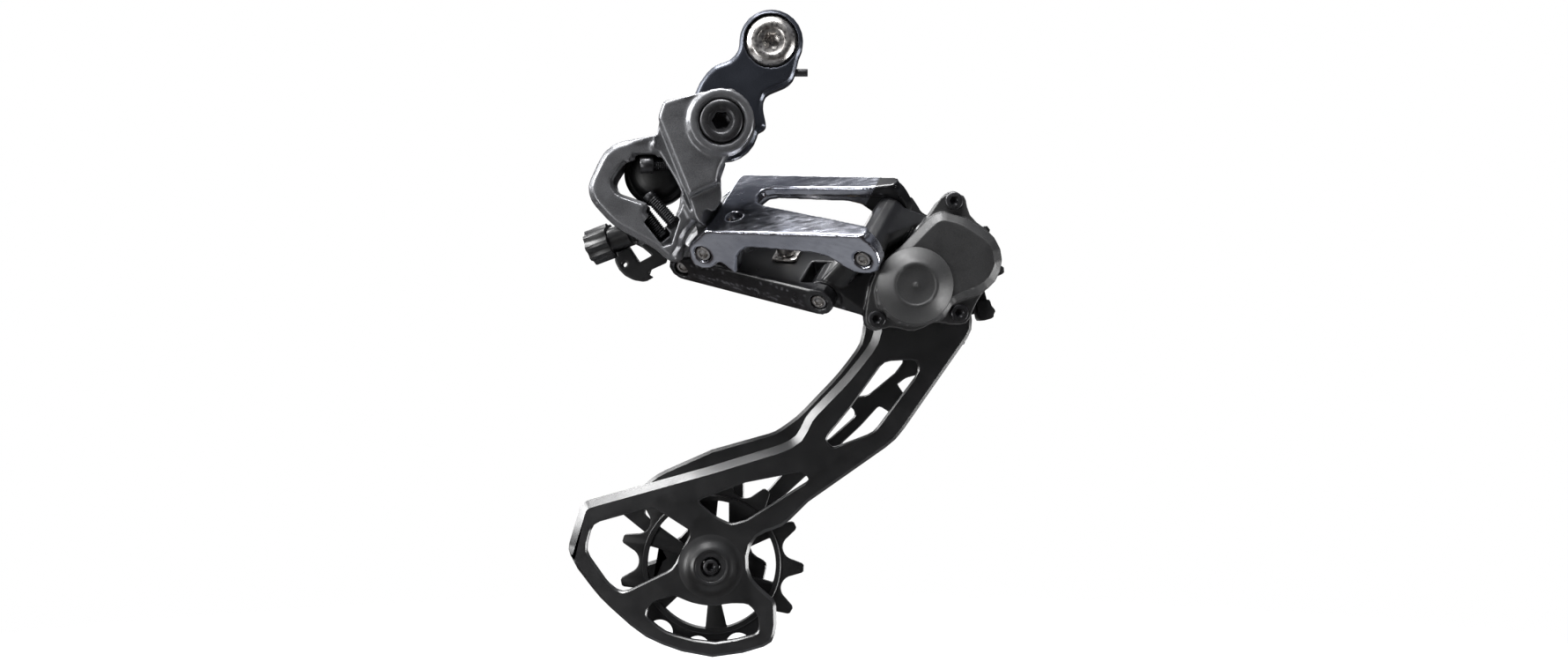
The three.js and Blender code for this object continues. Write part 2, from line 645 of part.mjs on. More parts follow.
const P_AXLE_RADIUS = 5;
const FLOOR_FRONT = -4.4; // inside face of the housing's floor
const CAVITY = [
  [33.6, -69.6, 1], [40.4, -62.6, 2], [46.6, -57, 3], [56, -56.6, 3], [65, -62.6, 4], [66, -69, 3],
  [62.6, -74.6, 3],
  [54, -77.4, 3], [50, -83, 3], [42.3, -85.6, 4], [34.6, -82, 4], [32.2, -75, 4],
];
const HOUSING = [
  [33, -67, 3], [38, -63.4, 2], [46.4, -54.4, 2], [51, -47.4, 2], [57.4, -47.4, 2], [58.4, -54, 3],
  [66.6, -60, 4], [68.4, -67, 4], [66.8, -72.6, 3], [61.8, -77.4, 3], [59.6, -82, 2], [58, -86, 2],
  [53, -86, 2], [48.6, -85, 2], [42.3, -88.4, 3], [35.4, -86.4, 3], [31.4, -88, 2.4], [27.8, -86, 2.4],
  [28.2, -81.4, 2], [29.4, -74, 3],
];
const SCREW_RADIUS = 1.4;
const LEVER_PLANE = [-11, -7.6];

function leverSlot() {
  const shape = new THREE.Shape();
  shape.absarc(...LEVER_AXIS, 22, -1.62, 0.2, false);
  shape.lineTo(LEVER_AXIS[0] - 2.6, LEVER_AXIS[1] + 2);
  shape.closePath();
  return plate(shape, LEVER_PLANE[0] - GAP, LEVER_PLANE[1] + GAP, 5);
}

function pHousing() {
  const shell = cut(
    plate(outline(HOUSING), COVER_SEAM, HOUSING_BACK),
    plate(outline(CAVITY), COVER_SEAM - 1, FLOOR_FRONT),
  );
  const screwPosts = COVER_SCREWS.map((axis) => rodY(axis, COVER_SEAM, -8, 3.4, 16));
  const leverPost = rodY(LEVER_AXIS, LEVER_PLANE[1] + GAP, FLOOR_FRONT + 1, 2.4, 14);
  const barrelWeb = hullOf([
    ...rodPoints(OUTER_P, 9, 24, BARREL_RADIUS - 0.4, 10),
    point(44, -16, -58), point(44, -5, -58), point(33.5, -17, -66), point(33.5, -8, -68),
    point(48, -14, -54), point(48, -6, -54),
  ]);
  const innerWeb = hullOf([
    ...rodPoints(INNER_P, INNER_BARREL_P[0], INNER_BARREL_P[1], BARREL_RADIUS - 0.8, 8),
    point(31, -15, -84), point(31, -15, -70), point(31, -2, -84), point(31, -2, -70),
  ]);
  const across = hullOf([
    ...rodPoints(OUTER_P, 9, 18, 3.4, 8),
    ...rodPoints(INNER_P, INNER_BARREL_P[0], INNER_BARREL_P[1], 3.4, 8),
  ]);
  const webs = joined(barrelWeb, innerWeb, across);
  const solids = joined(
    shell, ...screwPosts, leverPost,
    cut(webs, plate(outline(CAVITY), -40, FLOOR_FRONT), plate(outline(HOUSING), -40, COVER_SEAM)),
    pinRod(OUTER_P, ...BARREL_SPAN, BARREL_RADIUS),
    pinRod(INNER_P, ...INNER_BARREL_P, BARREL_RADIUS),
  );
  return cut(
    solids,
    pinRod(OUTER_P, -20, BARREL_SPAN[0], 6.8, 10),
    pinRod(OUTER_P, BARREL_SPAN[1], 50, 6.8, 10),
    pinRod(INNER_P, -22, INNER_BARREL_P[0], 6.2, 10),
    pinRod(INNER_P, INNER_BARREL_P[1], 26, 6.2, 10),
    pinRod(OUTER_P, -5, 45, PIN_RADIUS + GAP),
    pinRod(INNER_P, -5, 45, PIN_RADIUS + GAP),
    rodY(P_AXLE, -6, 1, P_AXLE_RADIUS + GAP),
    ...COVER_SCREWS.map((axis) => rodY(axis, COVER_SEAM - 1, -9, SCREW_RADIUS + GAP, 14)),
    plate(outline(CAVITY), COVER_SEAM - 1, COVER_SEAM + 0.5),
    leverSlot(),
  );
}

function gasket() {
  const sheet = plate(outline(HOUSING), COVER_SEAM - GAP - 0.6, COVER_SEAM - GAP);
  const screws = COVER_SCREWS.map((axis) => rodY(axis, -30, 0, SCREW_RADIUS + GAP, 14));
  return cut(sheet, plate(outline(CAVITY), -30, 0), ...screws);
}

const COVER_BACK = COVER_SEAM - 2 * GAP - 0.6;

function cover() {
  const crown = [
    [38, -63.4, 2], [46.6, -54.6, 2], [50, -52.6, 2], [57.2, -54.5, 2], [66.6, -60.6, 4],
    [68.6, -67, 4], [66.4, -73.6, 4], [61.4, -77.3, 3], [54.4, -79, 3], [51.6, -84, 4],
    [42.3, -87, 6], [33, -84.4, 5], [30, -76, 5], [33.6, -68.4, 3],
  ];
  const shell = cut(
    joined(
      plate(outline(crown), COVER_FRONT, COVER_BACK),
      plate(outline(HOUSING), COVER_BACK - 2.6, COVER_BACK),
    ),
    plate(outline(CAVITY), COVER_FRONT + 2.2, COVER_BACK + 1),
    rodY(P_AXLE, COVER_FRONT - 1, COVER_BACK, 7.9, 20),
  );
  const screws = COVER_SCREWS.map((axis) => joined(
    rodY(axis, -40, 0, SCREW_RADIUS + GAP, 14),
    rodY(axis, -40, COVER_BACK - 2.9, 3, 16),
  ));
  return cut(shell, ...screws);
}

function axleCap() {
  const face = -COVER_FRONT + GAP;
  return turned([
    [0, -COVER_FRONT - 3], [7.5, -COVER_FRONT - 3], [7.5, face], [11.2, face], [11.2, face + 0.8],
    [6.4, face + 4.2], [5.6, face + 4.2], [5.6, face + 3.9], [0, face + 3.9],
  ], at(P_AXLE), OUTBOARD, 24);
}

function coverScrew(axis) {
  const head = COVER_BACK - 2.6 - GAP;
  const body = turned([
    [0, 10], [SCREW_RADIUS, 10], [SCREW_RADIUS, -head], [2.6, -head], [2.6, 2 - head], [0, 2 - head],
  ], at(axis), OUTBOARD, 16);
  return cut(body, socketY(axis, head - 3, head - 0.8, 2.5));
}

function switchLever() {
  const [x, z] = LEVER_AXIS;
  const hub = rodY(LEVER_AXIS, ...LEVER_PLANE, 4, 20);
  const bore = rodY(LEVER_AXIS, -20, 0, 1.6, 12);
  const arm = plate(outline([
    [x - 1, z - 1], [x + 2.6, z + 0.4], [x + 5.4, z - 10.6], [x + 2, z - 11.6],
  ]), ...LEVER_PLANE);
  const tab = plate(outline([
    [x + 1.2, z - 9.8, 0.8], [x + 5.2, z - 8.8, 0.8], [x + 6.8, z - 14.4, 1.2], [x + 2.4, z - 15.6, 1.2],
  ]), -17, -3);
  return cut(joined(hub, arm, tab), bore);
}

add("p_housing", pHousing(), MATERIALS.black);
add("cover_gasket", gasket(), MATERIALS.rubber);
add("clutch_cover", cover(), MATERIALS.cover);
add("axle_cap", axleCap(), MATERIALS.cover);
COVER_SCREWS.forEach((axis, i) => add(`cover_screw_${i + 1}`, coverScrew(axis), MATERIALS.screw));
add("switch_lever", switchLever(), MATERIALS.plastic);
add("switch_cam", ringY(LEVER_AXIS, -16.4, LEVER_PLANE[0] - GAP, 1.6, 3.4, 18), MATERIALS.steel);
add("roller_clutch", ringY(P_AXLE, -16.4, -9.6, P_AXLE_RADIUS + GAP, 7.4, 20), MATERIALS.steel);
add("friction_band", frictionBand(), MATERIALS.brass);
add("cage_spring", coil(at(P_AXLE, -5.6), OUTBOARD, 7.4, 0.8, 1.6, 1.9), MATERIALS.steel);
add("pin_p_outer", linkPin(OUTER_P, 0, LINK_HEIGHT), MATERIALS.steel);
add("pin_p_inner", linkPin(INNER_P, INNER_P_SPAN[0], INNER_P_SPAN[1] + 9), MATERIALS.steel);

function frictionBand() {
  const band = ringY(P_AXLE, -15.8, -10.2, 7.75, 8.7, 20);
  const mouth = plate(outline([
    [P_AXLE[0] + 1, P_AXLE[1] + 0.5], [P_AXLE[0] + 14, P_AXLE[1] + 0.5], [P_AXLE[0] + 14, P_AXLE[1] + 6],
    [P_AXLE[0] + 1, P_AXLE[1] + 3],
  ]), -20, 0);
  return cut(band, mouth);
}

// ---- Cage and pulleys --------------------------------------------------------------------------

const BOLT_RADIUS = 2.5; // M5 pulley bolts
const BUSH_RADIUS = 4.2;

const OUTER_CAGE = [
  [31, -91, 3], [22.7, -101.6, 4], [10.4, -114.2, 3], [8, -120.4, 3], [2.5, -123, 2], [-18.2, -129.3],
  [-57.4, -140.2, 1.6], [-59, -142], [-62.8, -155, 2], [-59.6, -161], [-52.7, -170, 4],
  [-38.9, -182.4, 6], [-18.2, -189.6, 14], [0.6, -184, 4], [1.6, -178], [1.4, -171, 1.5],
  [-6.4, -164, 3], [-7.6, -157, 4], [-5, -150.6, 4], [3.6, -148, 3], [11.3, -140.4], [23.6, -131.7],
  [38.4, -121.4, 4], [50.5, -103.8], [62, -87.6, 3], [61, -78, 8], [52, -62, 10], [40, -61.5, 8],
  [31, -70, 6], [32.6, -82, 6],
];
const INNER_CAGE = [
  [28, -91.6, 3], [21, -101, 4], [8, -114.6, 3], [1.1, -119.4, 2], [-18.8, -125], [-36, -132.6, 3],
  [-46, -141, 3], [-47.4, -144.6, 1.5], [-36, -153.8, 1.5], [-33.4, -158.6, 1], [-39.6, -160.6, 1],
  [-40.4, -166, 2], [-35, -169.4, 3], [-27, -171.8, 4], [-18.6, -172.6, 6], [-10, -171.6, 4],
  [-3, -168, 2], [-1.3, -160.4, 1.5], [-6.4, -157.6, 2], [-7.6, -150, 3], [-3, -145.6, 2], [5.3, -138.2],
  [11.8, -132.2, 2], [22, -128, 3], [37, -121, 4], [49.5, -104], [62, -86, 5], [64, -72, 8],
  [57, -58, 8], [42, -56.6, 8], [32, -66, 6], [29.4, -80, 5],
];
const UPPER_SLOT = [
  [34.6, -97.2, 2], [44.9, -96.6, 2], [45.2, -100.6, 2], [31.4, -119, 2], [18.6, -123.8, 1.5],
  [16.6, -121, 1.5], [24, -111.9],
];
const MIDDLE_SLOT = [
  [-22.8, -140, 1.5], [-8, -134.4], [9.6, -131, 1.6], [11.8, -133.6, 1], [-7.5, -145.7],
  [-12.4, -147.2, 1.5], [-17, -145, 1],
];
const REAR_WINDOW = [
  [-55, -147, 2.4], [-36.5, -141.8, 2], [-24.6, -149.4, 1.5], [-30.4, -161, 2], [-45.8, -168.4, 2],
  [-50, -165.6, 2], [-57.2, -155.4, 2.4],
];
const FOOT_WINDOW = [
  [-39, -175, 2], [-36.6, -171, 1.5], [-30, -169, 1], [-24.4, -171.4, 2], [-18.4, -172.4, 2],
  [-12.4, -171.4, 2], [-7, -171.6, 1.5], [-3.8, -175.6, 2], [-4, -180.6, 1.5],
  [-17.3, -184.4, 8], [-32.8, -180.4, 3],
];
const INNER_WINDOWS = [
  [
    [25.6, -108.4, 0.8], [33, -97.6, 2], [38, -95.8, 1], [40.8, -95.8, 0.8], [41.2, -97.6, 0.8], [38.6, -101],
    [34, -104.8], [30.2, -107.9, 1],
  ],
  [[39.4, -104.6, 0.8], [41.8, -102.6, 1], [46.2, -101.4, 0.8], [46.4, -103.4, 1], [42.2, -108.6, 0.8]],
  [[15.4, -121.2, 0.8], [17.4, -122.2, 0.8], [26.2, -114.4, 0.8], [25.8, -112.4, 0.8], [23.6, -111, 0.8]],
  [
    [21.8, -123.2, 0.8], [28, -117.4, 1], [33.6, -111.2, 1], [37.4, -113.6, 1], [36.6, -116.6, 1],
    [33, -120.4, 2], [27, -123.2, 1],
  ],
  [[-8.7, -133.8, 1], [4.8, -130.8, 0.8], [-0.6, -137.1], [-5.4, -141.4, 1], [-8.7, -143.6, 1]],
  [[-13.4, -138.4, 1], [-13.4, -149.4, 1], [-17, -151.4, 1], [-22.6, -149.6, 1.5], [-22.4, -139.6, 1.5]],
  [
    [-39.8, -145.2, 0.8], [-38.6, -141.4, 1.5], [-28, -138.8, 1.5], [-26, -142, 1], [-26, -149.6, 1],
    [-29.6, -153.4, 1.5], [-33, -151.4, 1],
  ],
];

function outerCagePlate() {
  const windows = [UPPER_SLOT, MIDDLE_SLOT, REAR_WINDOW, FOOT_WINDOW].map(hole);
  const body = joined(
    plate(withHoles(outline(OUTER_CAGE), ...windows), ...OUTER_PLATE),
    ringY(TENSION_AXIS, OUTER_PLATE[0] - 1.1, OUTER_PLATE[0] + 1, 3.2, 4.6, 16),
  );
  return cut(
    body,
    rodY(TENSION_AXIS, -3, 6, BOLT_RADIUS + GAP, 16),
    rodY(GUIDE_AXIS, -3, 6, BOLT_RADIUS + GAP, 16),
    rodY(P_AXLE, -3, 6, 3 + GAP, 20),
  );
}

function innerCagePlate() {
  const body = plate(withHoles(outline(INNER_CAGE), ...INNER_WINDOWS.map(hole)), ...INNER_PLATE);
  const holes = [TENSION_AXIS, GUIDE_AXIS].map((axis) => rodY(axis, 10, 18, BOLT_RADIUS + GAP, 16));
  return cut(body, ...holes);
}

function pAxle() {
  return turned([
    [0, -OUTER_PLATE[1] + 0.2], [3, -OUTER_PLATE[1] + 0.2], [3, -OUTER_PLATE[0] + GAP],
    [P_AXLE_RADIUS, -OUTER_PLATE[0] + GAP], [P_AXLE_RADIUS, 17], [0, 17],
  ], at(P_AXLE), OUTBOARD, 24);
}

function pulleyBolt(axis, front) {
  const body = turned([
    [0, -INNER_PLATE[1]], [BOLT_RADIUS, -INNER_PLATE[1]], [BOLT_RADIUS, -front], [0, -front],
  ], at(axis), OUTBOARD, 16);
  return cut(body, socketY(axis, front - 1, front + 2.4, 3));
}

const TOOTH_HEIGHT = 2.6; // from the pitch circle to the tip
const TOOTH_HALF_TIP = 0.034; // radians
const ROLLER_SEAT = 1.15; // radians, how far the seat wraps each side of the roller
const HUB_RADIUS = 9.4;
const HALF_TOOTH = 1.1;
const HALF_RIM = 2.2;
const HALF_HUB = 3.2;

// The outline of a toothed wheel: a seat for each roller of the chain, and a blunt tooth between two seats.
function toothedDisc(teeth, pitchRadius) {
  const tip = pitchRadius + TOOTH_HEIGHT;
  const corners = [];
  for (let i = 0; i < teeth; i++) {
    const middle = ((i + 0.5) / teeth) * 2 * Math.PI;
    for (const turn of [-ROLLER_SEAT, 0, ROLLER_SEAT]) {
      const across = ROLLER_RADIUS * Math.sin(turn);
      const out = pitchRadius - ROLLER_RADIUS * Math.cos(turn);
      corners.push([middle + Math.atan2(across, out), Math.hypot(across, out)]);
    }
    for (const side of [-TOOTH_HALF_TIP, TOOTH_HALF_TIP]) {
      corners.push([middle + Math.PI / teeth + side, tip]);
    }
  }
  return outline(corners.map(([angle, radius]) => [radius * Math.cos(angle), radius * Math.sin(angle)]));
}

// The openings between the spokes start at the angle of the first one's middle.
function pulley({ teeth, axis, spokes, phase, firstWindow }) {
  const pitchRadius = CHAIN_PITCH / (2 * Math.sin(Math.PI / teeth));
  const rim = pitchRadius - 5;
  const inner = pitchRadius - 6.6;
  const shape = toothedDisc(teeth, pitchRadius);
  const halfWindow = (0.34 * 2 * Math.PI) / spokes;
  for (let i = 0; i < spokes; i++) {
    const middle = firstWindow + (i / spokes) * 2 * Math.PI;
    const window = new THREE.Path();
    window.absarc(0, 0, inner, middle - halfWindow, middle + halfWindow, false);
    window.absarc(0, 0, HUB_RADIUS, middle + halfWindow, middle - halfWindow, true);
    window.closePath();
    shape.holes.push(window);
  }
  const disk = prism(shape, -HALF_TOOTH, HALF_TOOTH, 3).rotateZ(phase).rotateX(Math.PI / 2);
  return cut(
    joined(
      solid(disk.translate(axis[0], PULLEY_PLANE, axis[1])),
      ringY(axis, PULLEY_PLANE - HALF_RIM, PULLEY_PLANE + HALF_RIM, inner, rim, 22),
      ringY(axis, PULLEY_PLANE - HALF_HUB, PULLEY_PLANE + HALF_HUB, 6, HUB_RADIUS, 20),
    ),
    rodY(axis, 0, 16, BUSH_RADIUS + GAP, 16),
  );
}

// boltFront is the outboard face of the bolt's head. Angles are in radians from +X towards +Z.
const PULLEYS = [
  {
    name: "guide", teeth: GUIDE_TEETH, axis: GUIDE_AXIS, spokes: 5, phase: -0.506, firstWindow: 0.3,
    boltFront: OUTER_PLATE[0] + 0.1,
  },
  {
    name: "tension", teeth: TENSION_TEETH, axis: TENSION_AXIS, spokes: 6, phase: -0.044, firstWindow: 0.113,
    boltFront: OUTER_PLATE[0] - 0.7,
  },
];
const STOP_PIN = [33.6, -95.6];

add("outer_cage_plate", outerCagePlate(), MATERIALS.plate);
add("inner_cage_plate", innerCagePlate(), MATERIALS.plate);
add("p_axle", pAxle(), MATERIALS.steel);
add("cage_stop_pin", rodY(STOP_PIN, OUTER_PLATE[1] + GAP, INNER_PLATE[0] - GAP, 1.6, 14), MATERIALS.steel);

for (const wheel of PULLEYS) {
  const { name, axis, boltFront } = wheel;
  const [near, far] = [OUTER_PLATE[1] + GAP, INNER_PLATE[0] - GAP];
  const [hubFront, hubBack] = [PULLEY_PLANE - HALF_HUB - 0.2, PULLEY_PLANE + HALF_HUB + 0.2];
  add(`${name}_bolt`, pulleyBolt(axis, boltFront), MATERIALS.screw);
  add(`${name}_bush`, ringY(axis, near, far, BOLT_RADIUS + GAP, BUSH_RADIUS, 16), MATERIALS.steel);
  add(`${name}_cap_outer`, ringY(axis, near, hubFront, BUSH_RADIUS + GAP, 8.2, 16), MATERIALS.black);
  add(`${name}_cap_inner`, ringY(axis, hubBack, far, BUSH_RADIUS + GAP, 8.2, 16), MATERIALS.black);
  add(`${name}_pulley`, pulley(wheel), MATERIALS.plastic);
}

export default derailleur;
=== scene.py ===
import json
import math

import bmesh
import bpy
from mathutils import Matrix, Vector


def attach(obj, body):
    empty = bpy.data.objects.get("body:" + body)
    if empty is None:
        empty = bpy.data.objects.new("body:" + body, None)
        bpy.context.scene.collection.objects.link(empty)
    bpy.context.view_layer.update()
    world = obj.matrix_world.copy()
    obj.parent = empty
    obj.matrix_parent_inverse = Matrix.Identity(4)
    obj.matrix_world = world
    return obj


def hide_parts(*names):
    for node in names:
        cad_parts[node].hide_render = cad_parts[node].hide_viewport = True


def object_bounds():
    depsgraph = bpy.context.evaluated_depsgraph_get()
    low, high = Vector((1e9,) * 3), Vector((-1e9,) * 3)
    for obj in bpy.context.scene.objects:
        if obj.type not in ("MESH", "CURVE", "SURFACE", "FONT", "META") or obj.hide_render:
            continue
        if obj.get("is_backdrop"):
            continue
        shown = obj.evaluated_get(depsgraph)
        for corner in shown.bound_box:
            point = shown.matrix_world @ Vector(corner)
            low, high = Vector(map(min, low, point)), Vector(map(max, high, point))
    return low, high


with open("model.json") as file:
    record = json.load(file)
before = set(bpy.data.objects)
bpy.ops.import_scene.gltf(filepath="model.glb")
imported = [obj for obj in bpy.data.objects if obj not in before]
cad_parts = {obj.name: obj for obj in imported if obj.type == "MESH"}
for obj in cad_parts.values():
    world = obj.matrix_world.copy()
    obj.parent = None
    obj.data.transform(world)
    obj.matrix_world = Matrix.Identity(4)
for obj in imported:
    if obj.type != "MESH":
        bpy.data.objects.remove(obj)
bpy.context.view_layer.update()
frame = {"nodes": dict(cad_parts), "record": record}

# ---- Driving dimensions, in millimetres -----------------------------------------------------------

MM = 0.001  # in the scene's metres
JOINTS = {joint["name"]: joint for joint in frame["record"]["behaviour"]["joints"]}
BODIES = frame["record"]["behaviour"]["bodies"]
BODY_OF = {node: body for body, nodes in BODIES.items() for node in nodes}
SLOT_OF = {part["node"]: part["material_slot"] for part in frame["record"]["subparts"]}


def axis_at(name):
    """Where a joint's axis along Y passes, as (x, z) in millimetres."""
    x, _, z = JOINTS[name]["pos_m"]
    return x / MM, z / MM


HANGER = (0.0, 0.0)
B_AXLE = axis_at("b_swing")
P_AXLE = axis_at("cage_swing")
GUIDE = axis_at("guide_spin")
TENSION = axis_at("tension_spin")
DOMED_CAP = (-35.2, -39.8)
COVER_SCREWS = [(54, -49.6), (55.6, -82.6), (31.2, -84.4)]
OUTBOARD = Vector((0, -1, 0))
OUTER_PLATE = (0.4, 3.8)  # the depths of its two faces
INNER_PLATE = (12.2, 14.6)
PULLEY_PLANE = 8.0
CHAIN_PITCH = 12.7
ROLLER_RADIUS = 3.97
SEAT_TURN = 1.15  # how far round a roller its seat reaches, to each side, in radians
TOOTH_HEIGHT = 2.1
HUB_RADIUS = 9.4
SHAFT_RADIUS = 5.4
HALF_WEB, HALF_RIM, HALF_HUB = 1.1, 2.2, 3.2  # how far a pulley's parts reach either side of its plane

# ---- Materials ------------------------------------------------------------------------------------

COAT_ROUGHNESS = 0.25


def new_material(name, metallic, roughness, coat=0.0):
    made = bpy.data.materials.new(name)
    made.use_nodes = True
    shader = made.node_tree.nodes["Principled BSDF"]
    shader.inputs["Metallic"].default_value = metallic
    shader.inputs["Roughness"].default_value = roughness
    shader.inputs["Coat Weight"].default_value = coat
    shader.inputs["Coat Roughness"].default_value = COAT_ROUGHNESS
    return made, made.node_tree, shader


def noise(tree, scale, detail=3.0, stretch=None):
    """A noise texture on the piece's own coordinates, so it stays on the piece as it moves."""
    place = tree.nodes.new("ShaderNodeTexCoord")
    source = place.outputs["Object"]
    if stretch:
        mapping = tree.nodes.new("ShaderNodeMapping")
        mapping.inputs["Scale"].default_value = stretch
        tree.links.new(source, mapping.inputs["Vector"])
        source = mapping.outputs["Vector"]
    texture = tree.nodes.new("ShaderNodeTexNoise")
    texture.inputs["Scale"].default_value = scale
    texture.inputs["Detail"].default_value = detail
    tree.links.new(source, texture.inputs["Vector"])
    return texture.outputs["Fac"]


def ramp(tree, source, stops):
    """A colour ramp over a value, from stops of (position, colour)."""
    node = tree.nodes.new("ShaderNodeValToRGB")
    ramp_stops = node.color_ramp.elements
    while len(ramp_stops) < len(stops):
        ramp_stops.new(0.5)
    for element, (position, color) in zip(ramp_stops, stops):
        element.position = position
        element.color = (*color, 1)
    tree.links.new(source, node.inputs["Fac"])
    return node.outputs["Color"]


def spread(tree, source, low, high, start=0.3, end=0.7):
    """A value's range from start to end stretched over low to high."""
    node = tree.nodes.new("ShaderNodeMapRange")
    node.inputs["From Min"].default_value = start
    node.inputs["From Max"].default_value = end
    node.inputs["To Min"].default_value = low
    node.inputs["To Max"].default_value = high
    tree.links.new(source, node.inputs["Value"])
    return node.outputs["Result"]


def bump(tree, shader, source, strength, distance):
    node = tree.nodes.new("ShaderNodeBump")
    node.inputs["Strength"].default_value = strength
    node.inputs["Distance"].default_value = distance
    tree.links.new(source, node.inputs["Height"])
    tree.links.new(node.outputs["Normal"], shader.inputs["Normal"])
    return node


def edge_mix(tree, color, edge_color, amount):
    """Lightens a surface where it turns over an edge, as handling and wear do."""
    geometry = tree.nodes.new("ShaderNodeNewGeometry")
    edge = spread(tree, geometry.outputs["Pointiness"], 0.0, amount, 0.51, 0.58)
    mix = tree.nodes.new("ShaderNodeMix")
    mix.data_type = "RGBA"
    mix.inputs["B"].default_value = (*edge_color, 1)
    tree.links.new(edge, mix.inputs["Factor"])
    tree.links.new(color, mix.inputs["A"])
    return mix.outputs["Result"]


def surface(name, dark, light, metallic, roughness, grain, depth, wear=None, coat=0.0, detail=4.0):
    """A finish with a fine grain: mottled colour, uneven gloss and a bump of the grain's own size."""
    made, tree, shader = new_material(name, metallic, roughness, coat)
    broad = noise(tree, grain * 0.03, 4.0)
    fine = noise(tree, grain, detail)
    color = ramp(tree, fine, [(0.3, dark), (0.7, light)])
    if wear:
        color = edge_mix(tree, color, *wear)
    tree.links.new(color, shader.inputs["Base Color"])
    low, high = roughness * 0.8, min(1.0, roughness * 1.25)
    tree.links.new(spread(tree, broad, low, high), shader.inputs["Roughness"])
    bump(tree, shader, fine, 0.5, depth)
    return made


def brushed(name, dark, light, roughness, stretch, wave=0.0):
    """A metal with fine tool marks that run one way, and a forging's slight waviness."""
    made, tree, shader = new_material(name, 1.0, roughness)
    marks = noise(tree, 900, 5.0, stretch)
    cloud = noise(tree, 60, 3.0)
    tree.links.new(ramp(tree, cloud, [(0.35, dark), (0.65, light)]), shader.inputs["Base Color"])
    tree.links.new(spread(tree, marks, roughness * 0.7, roughness * 1.4), shader.inputs["Roughness"])
    fine = bump(tree, shader, marks, 0.25, 0.00002)
    if wave:
        broad = bump(tree, shader, noise(tree, 26, 0.0), 1.0, wave)
        tree.links.new(broad.outputs["Normal"], fine.inputs["Normal"])
        tree.links.new(fine.outputs["Normal"], shader.inputs["Normal"])
    return made


SURFACES = {
    "knuckle": surface(
        "textured_grey_paint", (0.085, 0.086, 0.091), (0.17, 0.172, 0.18), 0.75, 0.36, 5200, 0.00005,
        ((0.4, 0.4, 0.42), 0.35), 0.1,
    ),
    "link": surface(
        "satin_blue_black", (0.028, 0.031, 0.04), (0.045, 0.05, 0.064), 0.75, 0.32, 3500, 0.00001,
        ((0.2, 0.21, 0.24), 0.35), 0.15,
    ),
    "polished": brushed(
        "polished_blue_grey", (0.36, 0.37, 0.42), (0.5, 0.51, 0.56), 0.2, (0.2, 1, 1), 0.0009,
    ),
    "black_alloy": surface(
        "satin_black", (0.004, 0.004, 0.0045), (0.009, 0.009, 0.01), 0.1, 0.32, 3000, 0.00002,
        ((0.09, 0.09, 0.1), 0.3), 0.1,
    ),
    "cage_plate": surface(
        "blasted_black", (0.003, 0.003, 0.0033), (0.007, 0.007, 0.0075), 0.0, 0.36, 6000, 0.00003,
        ((0.03, 0.03, 0.032), 0.25), 0.5,
    ),
    "cover_plastic": surface(
        "grained_grey_plastic", (0.011, 0.011, 0.0115), (0.019, 0.019, 0.0195), 0.0, 0.5, 4200, 0.00005,
        ((0.1, 0.1, 0.1), 0.3),
    ),
    "black_plastic": surface(
        "moulded_black_plastic", (0.004, 0.004, 0.0045), (0.009, 0.009, 0.0095), 0.0, 0.38, 2600, 0.00003,
    ),
    "steel": brushed("turned_steel", (0.4, 0.385, 0.37), (0.56, 0.54, 0.52), 0.3, (1, 1, 1)),
    "black_steel": surface(
        "blackened_steel", (0.03, 0.03, 0.032), (0.06, 0.06, 0.063), 0.85, 0.32, 2400, 0.00002,
        ((0.12, 0.12, 0.125), 0.3),
    ),
    "brass": brushed("plain_brass", (0.42, 0.25, 0.1), (0.6, 0.4, 0.18), 0.3, (1, 1, 1)),
    "rubber": surface("black_rubber", (0.012, 0.012, 0.012), (0.02, 0.02, 0.02), 0.0, 0.75, 1800, 0.00004),
}

# ---- Making pieces --------------------------------------------------------------------------------


def finish_piece(piece, node, slot=None):
    """Dresses a piece and sets it on its node's body."""
    slot = slot or SLOT_OF[node]
    piece.data.materials.clear()
    piece.data.materials.append(SURFACES[slot])
    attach(piece, BODY_OF[node])
    return piece


def stand_for(piece, node, slot=None):
    finish_piece(piece, node, slot)
    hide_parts(node)
    return piece


def new_object(name, mesh):
    piece = bpy.data.objects.new(name, mesh)
    bpy.context.collection.objects.link(piece)
    return piece


def shade(piece, angle=30):
    """Smooth shading with sharp edges kept above an angle."""
    mesh = piece.data
    mesh.shade_smooth()
    mesh.set_sharp_from_angle(angle=math.radians(angle))


def settle(piece):
    """Applies a piece's modifiers to its mesh."""
    graph = bpy.context.evaluated_depsgraph_get()
    graph.update()
    made = bpy.data.meshes.new_from_object(piece.evaluated_get(graph))
    piece.modifiers.clear()
    if piece.type == "MESH":
        old = piece.data
        piece.data = made
        bpy.data.meshes.remove(old)
        return piece
    name = piece.name
    bpy.data.objects.remove(piece)
    return new_object(name, made)


def copy_of(node, name):
    """A welded copy of a node's mesh."""
    mesh = frame["nodes"][node].data.copy()
    mesh.name = name
    shape = bmesh.new()
    shape.from_mesh(mesh)
    bmesh.ops.remove_doubles(shape, verts=shape.verts, dist=1e-6)
    bmesh.ops.dissolve_limit(shape, angle_limit=math.radians(1), verts=shape.verts, edges=shape.edges)
    shape.to_mesh(mesh)
    shape.free()
    return new_object(name, mesh)


